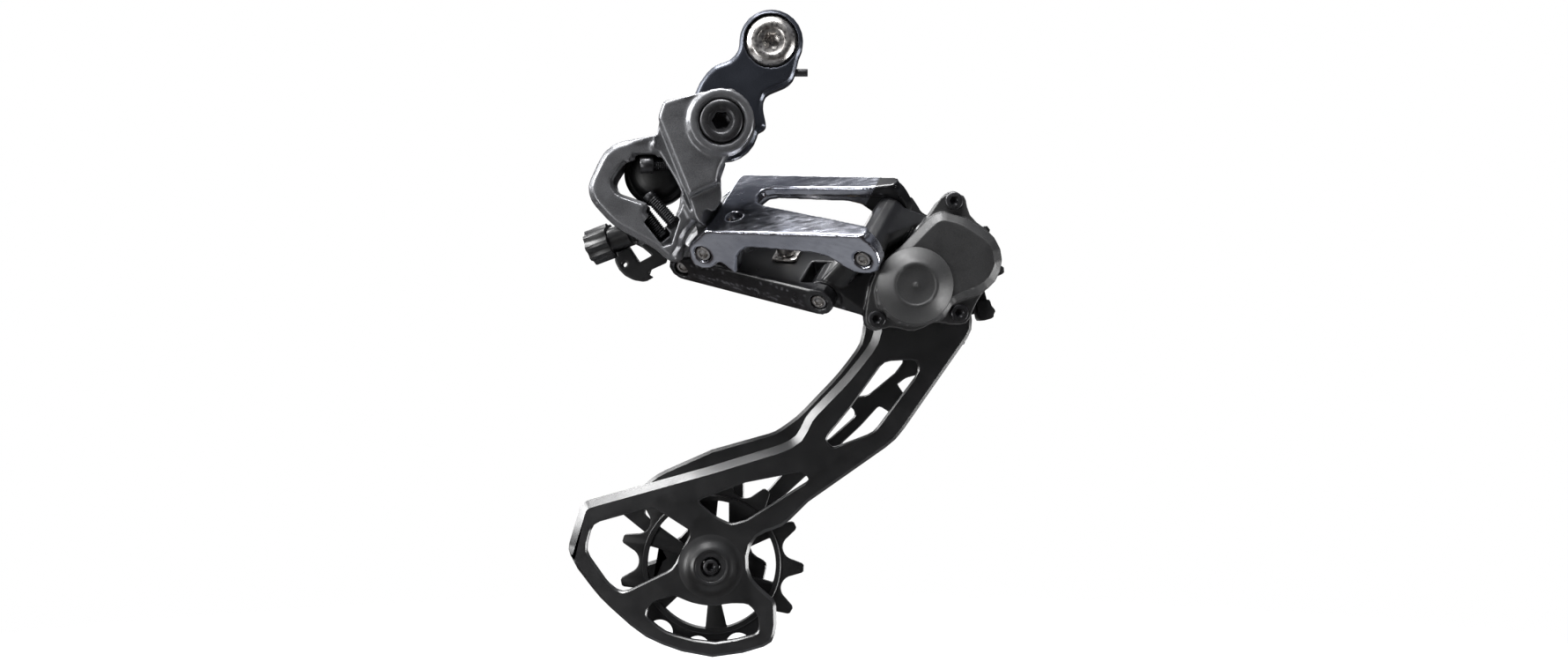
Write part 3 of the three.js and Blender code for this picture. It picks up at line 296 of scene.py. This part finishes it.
def rim_edges(mesh, y):
    """Edges at the rim of the flat face at depth y, in loops from the longest."""
    shape = bmesh.new()
    shape.from_mesh(mesh)
    rim = [
        edge for edge in shape.edges
        if all(abs(vert.co.y - y * MM) < 1e-5 for vert in edge.verts) and len(edge.link_faces) == 2
        and abs(abs(edge.link_faces[0].normal.y) - abs(edge.link_faces[1].normal.y)) > 0.3
    ]
    loops = []
    left = set(rim)
    while left:
        stack = [left.pop()]
        loop = []
        while stack:
            edge = stack.pop()
            loop.append(edge)
            for vert in edge.verts:
                for other in vert.link_edges:
                    if other in left:
                        left.remove(other)
                        stack.append(other)
        loops.append(loop)
    loops.sort(key=lambda loop: -sum(edge.calc_length() for edge in loop))
    found = [[edge.index for edge in loop] for loop in loops]
    shape.free()
    return found


def weigh(mesh, loops, weight):
    """Sets how much of a chamfer's width the loops' edges take."""
    name = "bevel_weight_edge"
    weights = mesh.attributes.get(name) or mesh.attributes.new(name, "FLOAT", "EDGE")
    for loop in loops:
        for index in loop:
            weights.data[index].value = weight


def chamfer(piece, width, segments=1):
    """Cuts the weighted edges back, the full width where the weight is 1."""
    bevel = piece.modifiers.new("chamfer", "BEVEL")
    bevel.width = width * MM
    bevel.segments = segments
    bevel.limit_method = "WEIGHT"
    bevel.use_clamp_overlap = False
    return piece


def block(name, corners, front, back):
    """A prism along Y over corners in X and Z, in millimetres."""
    shape = bmesh.new()
    low = [shape.verts.new((x * MM, front * MM, z * MM)) for x, z in corners]
    high = [shape.verts.new((x * MM, back * MM, z * MM)) for x, z in corners]
    shape.faces.new(low)
    shape.faces.new(list(reversed(high)))
    for i in range(len(corners)):
        j = (i + 1) % len(corners)
        shape.faces.new((low[j], low[i], high[i], high[j]))
    bmesh.ops.recalc_face_normals(shape, faces=shape.faces)
    mesh = bpy.data.meshes.new(name)
    shape.to_mesh(mesh)
    shape.free()
    return new_object(name, mesh)


def regrid(piece, voxel):
    """Remakes a piece on a grid of the given step, in millimetres."""
    remesh = piece.modifiers.new("grid", "REMESH")
    remesh.mode = "VOXEL"
    remesh.voxel_size = voxel * MM
    remesh.use_smooth_shade = True


def forged(node, name, voxel, passes, rims=(), cuts=()):
    """A casting's rounded form: the node remade on a fine grid, with its edges eased.

    Each rim is (depth, width, window width): how far the outline and the windows of the flat face at that
    depth are cut back. Each cut is (corners, front, back), a prism taken out."""
    piece = copy_of(node, name)
    if rims:
        widest = max(max(widths) for _, *widths in rims)
        for depth, outline_width, window_width in rims:
            loops = rim_edges(piece.data, depth)
            weigh(piece.data, loops[:1], outline_width / widest)
            weigh(piece.data, loops[1:], window_width / widest)
        chamfer(piece, widest)
    regrid(piece, voxel)
    if cuts:
        settle(piece)
        carve(piece, *(block("cut", *cut) for cut in cuts))
        regrid(piece, voxel)
    ease = piece.modifiers.new("ease", "SMOOTH")
    ease.factor = 0.5
    ease.iterations = passes
    settle(piece)
    piece.data.shade_smooth()
    return stand_for(piece, node)


def machined(node, width, segments=2, angle=35, name=None):
    """A machined node with its edges broken, and its round faces smooth."""
    piece = copy_of(node, name or f"{node}_machined")
    bevel = piece.modifiers.new("edges", "BEVEL")
    bevel.width = width * MM
    bevel.segments = segments
    bevel.limit_method = "ANGLE"
    bevel.angle_limit = math.radians(angle)
    settle(piece)
    shade(piece, 32)
    return stand_for(piece, node)


def rounded(corners, arc_steps=5):
    """Points of a closed outline from corners (x, z) or (x, z, radius)."""
    points = []
    count = len(corners)
    for i, corner in enumerate(corners):
        here = Vector(corner[:2])
        radius = corner[2] if len(corner) > 2 else 0
        before = Vector(corners[i - 1][:2])
        after = Vector(corners[(i + 1) % count][:2])
        reach = min(radius, (here - before).length / 2, (here - after).length / 2)
        if reach == 0:
            points.append(here)
            continue
        start = here + (before - here).normalized() * reach
        end = here + (after - here).normalized() * reach
        for step in range(arc_steps + 1):
            t = step / arc_steps
            points.append(start * (1 - t) ** 2 + here * 2 * t * (1 - t) + end * t * t)
    return points


def circle(radius, steps=64):
    angles = (i * 2 * math.pi / steps for i in range(steps))
    return [Vector((radius * math.cos(a), radius * math.sin(a))) for a in angles]


def pressed(name, loops, front, back, edge, steps=2):
    """A plate with eased edges, from loops in X and Z: the first is its outline, the rest are holes."""
    curve = bpy.data.curves.new(name, "CURVE")
    curve.dimensions = "2D"
    curve.fill_mode = "BOTH"
    curve.extrude = ((back - front) / 2 - edge) * MM
    curve.bevel_depth = edge * MM
    curve.bevel_resolution = steps
    curve.offset = -edge * MM
    for loop in loops:
        spline = curve.splines.new("POLY")
        spline.points.add(len(loop) - 1)
        for point, place in zip(spline.points, loop):
            point.co = (place.x * MM, place.y * MM, 0, 1)
        spline.use_cyclic_u = True
    piece = settle(new_object(name, curve))
    middle = Matrix.Translation((0, (front + back) / 2 * MM, 0))
    piece.data.transform(middle @ Matrix.Rotation(math.pi / 2, 4, "X"))
    clean(piece)
    shade(piece, 25)
    return piece


def clean(piece):
    """Welds a piece's seams and faces it outwards."""
    shape = bmesh.new()
    shape.from_mesh(piece.data)
    bmesh.ops.remove_doubles(shape, verts=shape.verts, dist=2e-6)
    bmesh.ops.recalc_face_normals(shape, faces=shape.faces)
    shape.to_mesh(piece.data)
    shape.free()


def turned(name, profile, foot, direction, segments=72):
    """A turned piece: (radius, distance) pairs in millimetres, along a direction from a foot."""
    shape = bmesh.new()
    rings = []
    for radius, distance in profile:
        if radius == 0:
            rings.append([shape.verts.new((0, 0, distance * MM))])
            continue
        ring = []
        for i in range(segments):
            angle = 2 * math.pi * i / segments
            place = (radius * math.cos(angle) * MM, radius * math.sin(angle) * MM, distance * MM)
            ring.append(shape.verts.new(place))
        rings.append(ring)
    closed = profile[0][0] > 0
    pairs = list(zip(rings, rings[1:])) + ([(rings[-1], rings[0])] if closed else [])
    for low, high in pairs:
        for i in range(segments):
            j = (i + 1) % segments
            corners = [low[i % len(low)], low[j % len(low)], high[j % len(high)], high[i % len(high)]]
            face = list(dict.fromkeys(corners))
            if len(face) > 2:
                shape.faces.new(face)
    bmesh.ops.recalc_face_normals(shape, faces=shape.faces)
    mesh = bpy.data.meshes.new(name)
    shape.to_mesh(mesh)
    shape.free()
    turn = direction.to_track_quat("Z", "Y").to_matrix().to_4x4()
    mesh.transform(Matrix.Translation(foot) @ turn)
    piece = new_object(name, mesh)
    shade(piece, 30)
    return piece


def soften(profile, width=0.25):
    """Breaks each corner of a turned profile with a small flat."""
    softened = []
    for i, corner in enumerate(profile):
        if i in (0, len(profile) - 1):
            softened.append(corner)
            continue
        here = Vector(corner)
        for other in (Vector(profile[i - 1]), Vector(profile[i + 1])):
            step = other - here
            reach = min(width, step.length * 0.4)
            softened.append(tuple(here + step.normalized() * reach))
    return softened


def carve(piece, *tools):
    """Cuts tools out of a piece and deletes them."""
    for tool in tools:
        cut = piece.modifiers.new("cut", "BOOLEAN")
        cut.operation = "DIFFERENCE"
        cut.solver = "EXACT"
        cut.object = tool
    settle(piece)
    for tool in tools:
        bpy.data.objects.remove(tool)
    shade(piece, 30)
    return piece


def socket(foot, direction, flats, depth, corners=6):
    """The tool that cuts a key socket into a face at the foot."""
    radius = flats / math.cos(math.pi / corners) / 2
    profile = [(0, -depth - flats * 0.28), (radius * 0.98, -depth), (radius, 0), (radius * 1.12, 1), (0, 1)]
    return turned("tool", profile, foot, direction, corners)


def at(axis, y):
    """The point on an axis along Y at depth y, in metres."""
    return Vector((axis[0], y, axis[1])) * MM


def threaded(name, start, direction, length, radius, pitch, segments=28):
    """A screw's threaded shank."""
    rings_per_turn = 8
    depth = pitch * 0.42
    count = round(length / pitch * rings_per_turn)
    shape = bmesh.new()
    rings = []
    for k in range(count + 1):
        ring = []
        for i in range(segments):
            phase = (k / rings_per_turn - i / segments) % 1
            ridge = 1 - abs(2 * phase - 1)
            ends = min(1, k / rings_per_turn, (count - k) / rings_per_turn)
            r = radius - depth + depth * min(1, ridge * 1.25) * ends
            angle = 2 * math.pi * i / segments
            place = (r * math.cos(angle), r * math.sin(angle), k / count * length)
            ring.append(shape.verts.new(Vector(place) * MM))
        rings.append(ring)
    for low, high in zip(rings, rings[1:]):
        for i in range(segments):
            j = (i + 1) % segments
            shape.faces.new((low[i], low[j], high[j], high[i]))
    shape.faces.new(list(reversed(rings[0])))
    shape.faces.new(rings[-1])
    mesh = bpy.data.meshes.new(name)
    shape.to_mesh(mesh)
    shape.free()
    turn = direction.to_track_quat("Z", "Y").to_matrix().to_4x4()
    mesh.transform(Matrix.Translation(start) @ turn)
    piece = new_object(name, mesh)
    shade(piece, 50)
    return piece


# ---- Forged and cast bodies -----------------------------------------------------------------------

LIMIT_SCREW_RECESS = [
    (-35.3, -51), (-33.4, -46.8), (-27.6, -54.4), (-30, -61.8), (-32.5, -62.6), (-38.4, -55.1),
]
forged(
    "b_knuckle", "b_knuckle_casting", 0.38, 3,
    rims=[(-21, 0.8, 0.4), (-19.5, 0.9, 0.5), (-11.5, 1.6, 2.4)], cuts=[(LIMIT_SCREW_RECESS, -18, -6.4)],
)
link = forged("outer_link", "outer_link_forging", 0.34, 24)
link.data.materials.append(SURFACES["black_alloy"])
for face in link.data.polygons:
    x, _, z = face.center / MM
    if x > 53.5 + 0.5 * z and z > -55:  # the upper end beside the P-knuckle's barrel is left black
        face.material_index = 1
forged("inner_link", "inner_link_forging", 0.34, 3)
forged("p_housing", "p_knuckle_casting", 0.38, 3)
forged("hanger_link", "hanger_link_forging", 0.34, 3, rims=[(-8, 1.2, 0.4)])
forged("clutch_cover", "clutch_cover_moulding", 0.3, 3, rims=[(-27, 2.4, 0.3)])
forged("cable_entry", "cable_entry_moulding", 0.28, 3)

# ---- Machined and pressed parts -------------------------------------------------------------------

EDGES = {
    "barrel_adjuster": 0.25, "switch_lever": 0.4, "cable_anchor_bolt": 0.3, "cable_anchor_plate": 0.3,
    "cage_stop_pin": 0.2, "b_axle_circlip": 0.1, "cover_gasket": 0.15, "friction_band": 0.15,
    "switch_cam": 0.2, "roller_clutch": 0.2, "b_spring": 0.02, "cage_spring": 0.02, "return_spring": 0.02,
    "guide_bush": 0.2, "tension_bush": 0.2, "link_stop_screw": 0.15,
}
for node, width in EDGES.items():
    machined(node, width)


def faces_sky(mesh, index):
    """Whether the side face beside an edge looks up or rearwards."""
    ends = set(mesh.edges[index].vertices)
    sides = [face for face in mesh.polygons if ends <= set(face.vertices) and abs(face.normal.y) < 0.5]
    return bool(sides) and sides[0].normal.dot(Vector((-0.6, 0, 0.8))) > 0.35


OUTLINE_SHARE = 0.4


def cage_plate(node, front, back, sky_bevel, window_bevel):
    """A pressed cage plate, bevelled widest where its front edge faces the sky, and least at its windows."""
    piece = copy_of(node, f"{node}_pressing")
    for depth in (front, back):
        loops = rim_edges(piece.data, depth)
        weigh(piece.data, loops[:1], OUTLINE_SHARE)
        weigh(piece.data, loops[1:], window_bevel / sky_bevel)
        if depth == front:
            weigh(piece.data, [[index for index in loops[0] if faces_sky(piece.data, index)]], 1)
    chamfer(piece, sky_bevel)
    settle(piece)
    shade(piece, 25)
    return piece


# The swell round the tension pulley's bolt, as (radius, height above the plate).
SWELL = [(10.2, 0.0), (8.6, 0.12), (7.4, 0.5), (6.5, 1.0), (5.9, 1.3), (5.3, 1.45), (4.7, 1.35), (4.5, 1.0)]
outer = cage_plate("outer_cage_plate", *OUTER_PLATE, 2.3, 0.45)
swell = turned(
    "swell", [(radius, height - 0.02) for radius, height in SWELL] + [(4.5, -0.4), (10.2, -0.4)],
    at(TENSION, OUTER_PLATE[0]), OUTBOARD, 96,
)


def join(pieces, name, angle=30):
    """One piece from several, with sharp edges kept above an angle."""
    shape = bmesh.new()
    for piece in pieces:
        shape.from_mesh(piece.data)
    mesh = bpy.data.meshes.new(name)
    shape.to_mesh(mesh)
    shape.free()
    for piece in pieces:
        bpy.data.objects.remove(piece)
    piece = new_object(name, mesh)
    shade(piece, angle)
    return piece


stand_for(join([outer, swell], "outer_cage_pressing", 25), "outer_cage_plate")
stand_for(cage_plate("inner_cage_plate", *INNER_PLATE, 0.9, 0.3), "inner_cage_plate")

# ---- Turned parts ---------------------------------------------------------------------------------


def keyed(node, profile, foot, direction, key=None):
    """A turned part, with an optional key socket: (mouth's distance from foot, flats, depth, corners)."""
    piece = turned(f"{node}_turning", soften(profile), foot, direction)
    if key:
        mouth, flats, depth, corners = key
        carve(piece, socket(foot + direction * mouth * MM, direction, flats, depth, corners))
    return stand_for(piece, node)


keyed("hanger_bolt", [
    (0, -9.2), (4.4, -9.2), (5, -8.6), (5, 5.75), (8.1, 5.75), (8.1, 7), (5.9, 8.9), (4.2, 9), (4.0, 8.6),
    (0, 8.6),
], at(HANGER, 0), OUTBOARD, (8.6, 5, 4.5, 6))
keyed("b_axle", [
    (0, -2), (4.2, -2), (4.6, -1.6), (4.6, 18), (6.4, 18), (6.4, 21), (5.9, 21.5), (3.9, 21.5), (3.6, 21.2),
    (0, 21.2),
], at(B_AXLE, 0), OUTBOARD, (21.2, 5, 5, 6))
keyed("axle_cap", [
    (0, 24), (7.5, 24), (7.5, 27.35), (11.2, 27.35), (11.2, 28.1), (6.9, 31.3), (6.4, 31.55), (5.9, 31.55),
    (5.6, 31.3), (0.9, 31.25), (0.5, 31.5), (0, 31.5),
], at(P_AXLE, 0), OUTBOARD)
keyed("domed_cap", [
    (0, -4), (9.8, -4), (9.8, 2), (8.9, 2.6), (8.1, 2.6), (7.8, 2.9), (7.2, 3.8), (6.1, 4.7), (4.4, 5.4),
    (2.4, 5.8), (0, 6),
], at(DOMED_CAP, 0), OUTBOARD)
for node in ("pin_b_outer", "pin_p_outer", "pin_b_inner", "pin_p_inner"):
    machined(node, 0.35, 2, 35)
for i, axis in enumerate(COVER_SCREWS, start=1):
    keyed(f"cover_screw_{i}", [
        (0, 10), (1.4, 10), (1.4, 22.85), (2.6, 22.85), (2.6, 24.6), (2.3, 24.85), (0, 24.85),
    ], at(axis, 0), OUTBOARD, (24.85, 2.5, 1.4, 6))
for node, axis, front in (("guide_bolt", GUIDE, 0.5), ("tension_bolt", TENSION, -0.3)):
    keyed(node, [
        (0, -14.6), (2.5, -14.6), (2.5, -front), (1.9, 0.3 - front), (0, 0.3 - front),
    ], at(axis, 0), OUTBOARD, (0.3 - front, 2.5, 2.2, 6))

# ---- Pulleys --------------------------------------------------------------------------------------


def tooth_outline(teeth, steps=9):
    """The outline of a pulley's teeth, whose gaps seat a chain's rollers, and its pitch radius."""
    pitch_radius = CHAIN_PITCH / (2 * math.sin(math.pi / teeth))
    tip = pitch_radius + TOOTH_HEIGHT
    points = []
    for tooth in range(teeth):
        middle = (tooth + 0.5) * 2 * math.pi / teeth
        for step in range(steps + 1):
            turn = SEAT_TURN * (2 * step / steps - 1)
            across = ROLLER_RADIUS * math.sin(turn)
            out = pitch_radius - ROLLER_RADIUS * math.cos(turn)
            angle = middle + math.atan2(across, out)
            radius = math.hypot(across, out)
            points.append(Vector((radius * math.cos(angle), radius * math.sin(angle))))
        for side in (-0.05, -0.03, 0.03, 0.05):
            angle = middle + math.pi / teeth + side
            radius = tip - (0.5 if abs(side) > 0.04 else 0)
            points.append(Vector((radius * math.cos(angle), radius * math.sin(angle))))
    return points, pitch_radius


def sector(inner, outer, start, end, corner=2.2, steps=12):
    """A window between two spokes, with rounded corners."""
    corners = []
    for radius, first, last in ((outer, start, end), (inner, end, start)):
        for step in range(steps + 1):
            angle = first + (last - first) * step / steps
            bend = corner if step in (0, steps) else 0
            corners.append((radius * math.cos(angle), radius * math.sin(angle), bend))
    return rounded(corners)


def ring(name, inner, outer, front, back, edge=0.3):
    """A turned ring about the Y axis, between two radii and two depths."""
    profile = [(inner, front), (outer - edge, front), (outer, front + edge), (outer, back - edge),
               (outer - edge, back), (inner, back)]
    return turned(name, [(r, -y) for r, y in profile], Vector((0, 0, 0)), OUTBOARD, 96)


def pulley(node, teeth, axis, spokes, phase, first_window):
    """A pulley: a toothed web with windows between its spokes, a thicker rim band and a hub.

    first_window is the angle of a window's middle, and phase then turns the whole pulley, in radians."""
    outline, pitch_radius = tooth_outline(teeth)
    rim_inner, rim_outer = pitch_radius - 6.6, pitch_radius - 5
    half = 0.34 * 2 * math.pi / spokes
    middles = [first_window + i / spokes * 2 * math.pi for i in range(spokes)]
    windows = [sector(HUB_RADIUS, rim_inner, middle - half, middle + half) for middle in middles]
    shaft = circle(SHAFT_RADIUS)
    web = pressed("web", [outline, *windows, shaft], PULLEY_PLANE - HALF_WEB, PULLEY_PLANE + HALF_WEB, 0.3)
    band = ring("band", rim_inner, rim_outer, PULLEY_PLANE - HALF_RIM, PULLEY_PLANE + HALF_RIM)
    boss = ring("boss", SHAFT_RADIUS, HUB_RADIUS, PULLEY_PLANE - HALF_HUB, PULLEY_PLANE + HALF_HUB)
    piece = join([web, band, boss], f"{node}_moulding")
    piece.data.transform(Matrix.Translation(at(axis, 0)) @ Matrix.Rotation(-phase, 4, "Y"))
    return stand_for(piece, node)


pulley("guide_pulley", 11, GUIDE, 5, -0.506, 0.3)
pulley("tension_pulley", 13, TENSION, 6, -0.044, 0.113)
for wheel, axis in (("guide", GUIDE), ("tension", TENSION)):
    for side, front, back in (("outer", 4.15, 4.6), ("inner", 11.4, 11.85)):
        cap = ring(f"{wheel}_cap_{side}_turning", 5.3, 8.2, front, back, 0.15)
        cap.data.transform(Matrix.Translation(at(axis, 0)))
        stand_for(cap, f"{wheel}_cap_{side}")

# ---- Screws ---------------------------------------------------------------------------------------


def screw(node, head, end, radius, head_radius, head_length, flats, pitch=0.7):
    """A screw with a threaded shank and a keyed head, from the head's outer end to the shank's tip."""
    head, end = Vector(head), Vector(end)
    direction = (end - head).normalized()
    length = (end - head).length
    overlap = 0.3
    cap = turned("cap", soften([
        (0, head_length), (head_radius, head_length), (head_radius, 0), (0, 0),
    ]), head * MM, direction, 40)
    carve(cap, socket(head * MM, -direction, flats, head_length * 0.6))
    shank = threaded(
        "shank", (head + direction * (head_length - overlap)) * MM, direction, length - head_length + overlap,
        radius, pitch,
    )
    return stand_for(join([cap, shank], f"{node}_turning", 45), node)


screw("limit_screw_high", (-37.5, -7.2, -46.3), (-29.8, -7.2, -55), 1.9, 1.9, 2, 1.8)
screw("limit_screw_low", (-40.2, -5.2, -49.8), (-32.8, -5.2, -59), 1.9, 1.9, 2, 1.8)
screw("b_tension_screw", (-39.6, -9, -37.7), (-23.5, -7.5, -37.4), 1.5, 2.6, 4, 2.2, 0.6)

# ---- Every remaining node takes its slot's finish ------------------------------------------------

for node, part in frame["nodes"].items():
    part.data.materials.clear()
    part.data.materials.append(SURFACES[SLOT_OF[node]])

# ---- Floor, light and camera ----------------------------------------------------------------------


CENTRE = Vector((0.004, 0, -0.085))


def area(name, place, size, power):
    """A rectangular light that faces the part's middle."""
    light = bpy.data.lights.new(name, "AREA")
    light.shape = "RECTANGLE"
    light.size, light.size_y = size
    light.energy = power
    lamp = bpy.data.objects.new(name, light)
    lamp.location = place
    lamp.rotation_mode = "QUATERNION"
    lamp.rotation_quaternion = (CENTRE - Vector(place)).to_track_quat("-Z", "Y")
    bpy.context.collection.objects.link(lamp)


area("top_light", (-0.1, -0.13, 0.6), (0.5, 0.2), 13)
area("sky_light", (-0.33, 0, 0.55), (0.34, 0.16), 1.4)
area("left_light", (-0.65, -0.12, 0.25), (0.25, 0.5), 9)
area("right_light", (0.6, -0.08, -0.3), (0.2, 0.4), 6)
area("low_light", (-0.3, -0.35, -0.15), (0.12, 0.12), 0.5)
area("front_light", (-0.35, -1.0, 0.8), (0.4, 0.25), 3)
area("back_light", (-0.2, 0.9, 0.4), (0.8, 0.4), 5)

# The room that the part reflects is dim with bright bands, and the camera sees plain white paper behind it.
world = bpy.data.worlds.new("studio")
bpy.context.scene.world = world
world.use_nodes = True
tree = world.node_tree
around = tree.nodes["Background"]
around.inputs["Strength"].default_value = 0.5
direction = tree.nodes.new("ShaderNodeTexCoord")
height = tree.nodes.new("ShaderNodeSeparateXYZ")
tree.links.new(direction.outputs["Generated"], height.inputs["Vector"])
STUDIO = [
    (0.0, (0.25, 0.27, 0.32)), (0.06, (0.95, 0.97, 1.0)), (0.12, (0.3, 0.29, 0.3)),
    (0.22, (0.07, 0.05, 0.045)), (0.5, (0.05, 0.05, 0.055)), (0.72, (0.1, 0.1, 0.115)),
    (0.86, (0.5, 0.52, 0.58)), (0.93, (0.16, 0.17, 0.2)), (1.0, (0.6, 0.62, 0.68)),
]
tree.links.new(ramp(tree, spread(tree, height.outputs["Z"], 0, 1, -1, 1), STUDIO), around.inputs["Color"])
paper = tree.nodes.new("ShaderNodeBackground")
paper.inputs["Color"].default_value = (1, 1, 1, 1)
rays = tree.nodes.new("ShaderNodeLightPath")
choice = tree.nodes.new("ShaderNodeMixShader")
tree.links.new(rays.outputs["Is Camera Ray"], choice.inputs["Fac"])
tree.links.new(around.outputs["Background"], choice.inputs[1])
tree.links.new(paper.outputs["Background"], choice.inputs[2])
tree.links.new(choice.outputs["Shader"], tree.nodes["World Output"].inputs["Surface"])

FLOOR_RADIUS = 0.6
SOLID_RADIUS = 0.1  # where the floor starts to fade
FLOOR_DROP = 0.058  # the derailleur hangs, and its cage swings this far below where it rests
low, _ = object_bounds()
floor_mesh = bpy.data.meshes.new("floor")
shape = bmesh.new()
bmesh.ops.create_circle(shape, cap_ends=True, segments=96, radius=FLOOR_RADIUS)
shape.to_mesh(floor_mesh)
shape.free()
floor = new_object("floor", floor_mesh)
floor.location = (0, 0, low.z - FLOOR_DROP)
floor_finish, tree, shader = new_material("pale_floor", 0.0, 0.9)
tint = ramp(tree, noise(tree, 12), [(0.3, (0.7, 0.7, 0.7)), (0.7, (0.74, 0.74, 0.74))])
tree.links.new(tint, shader.inputs["Base Color"])
shader.inputs["Emission Color"].default_value = (1, 1, 1, 1)
shader.inputs["Emission Strength"].default_value = 0.35
place = tree.nodes.new("ShaderNodeTexCoord")
reach = tree.nodes.new("ShaderNodeVectorMath")
reach.operation = "LENGTH"
tree.links.new(place.outputs["Object"], reach.inputs[0])
fade = spread(tree, reach.outputs["Value"], 1.0, 0.0, SOLID_RADIUS, FLOOR_RADIUS)
tree.links.new(fade, shader.inputs["Alpha"])
floor.data.materials.append(floor_finish)
floor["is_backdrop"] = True
floor.visible_glossy = False

camera = bpy.data.cameras.new("camera")
camera.sensor_width = 36
camera.lens = 45.5
camera.clip_start = 0.01
viewer = bpy.data.objects.new("camera", camera)
viewer.location = (0.00387, -0.608, -0.08893)
viewer.rotation_euler = (math.pi / 2, 0, 0)
bpy.context.collection.objects.link(viewer)
bpy.context.scene.camera = viewer
bpy.context.scene.view_settings.view_transform = "Standard"

low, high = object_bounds()
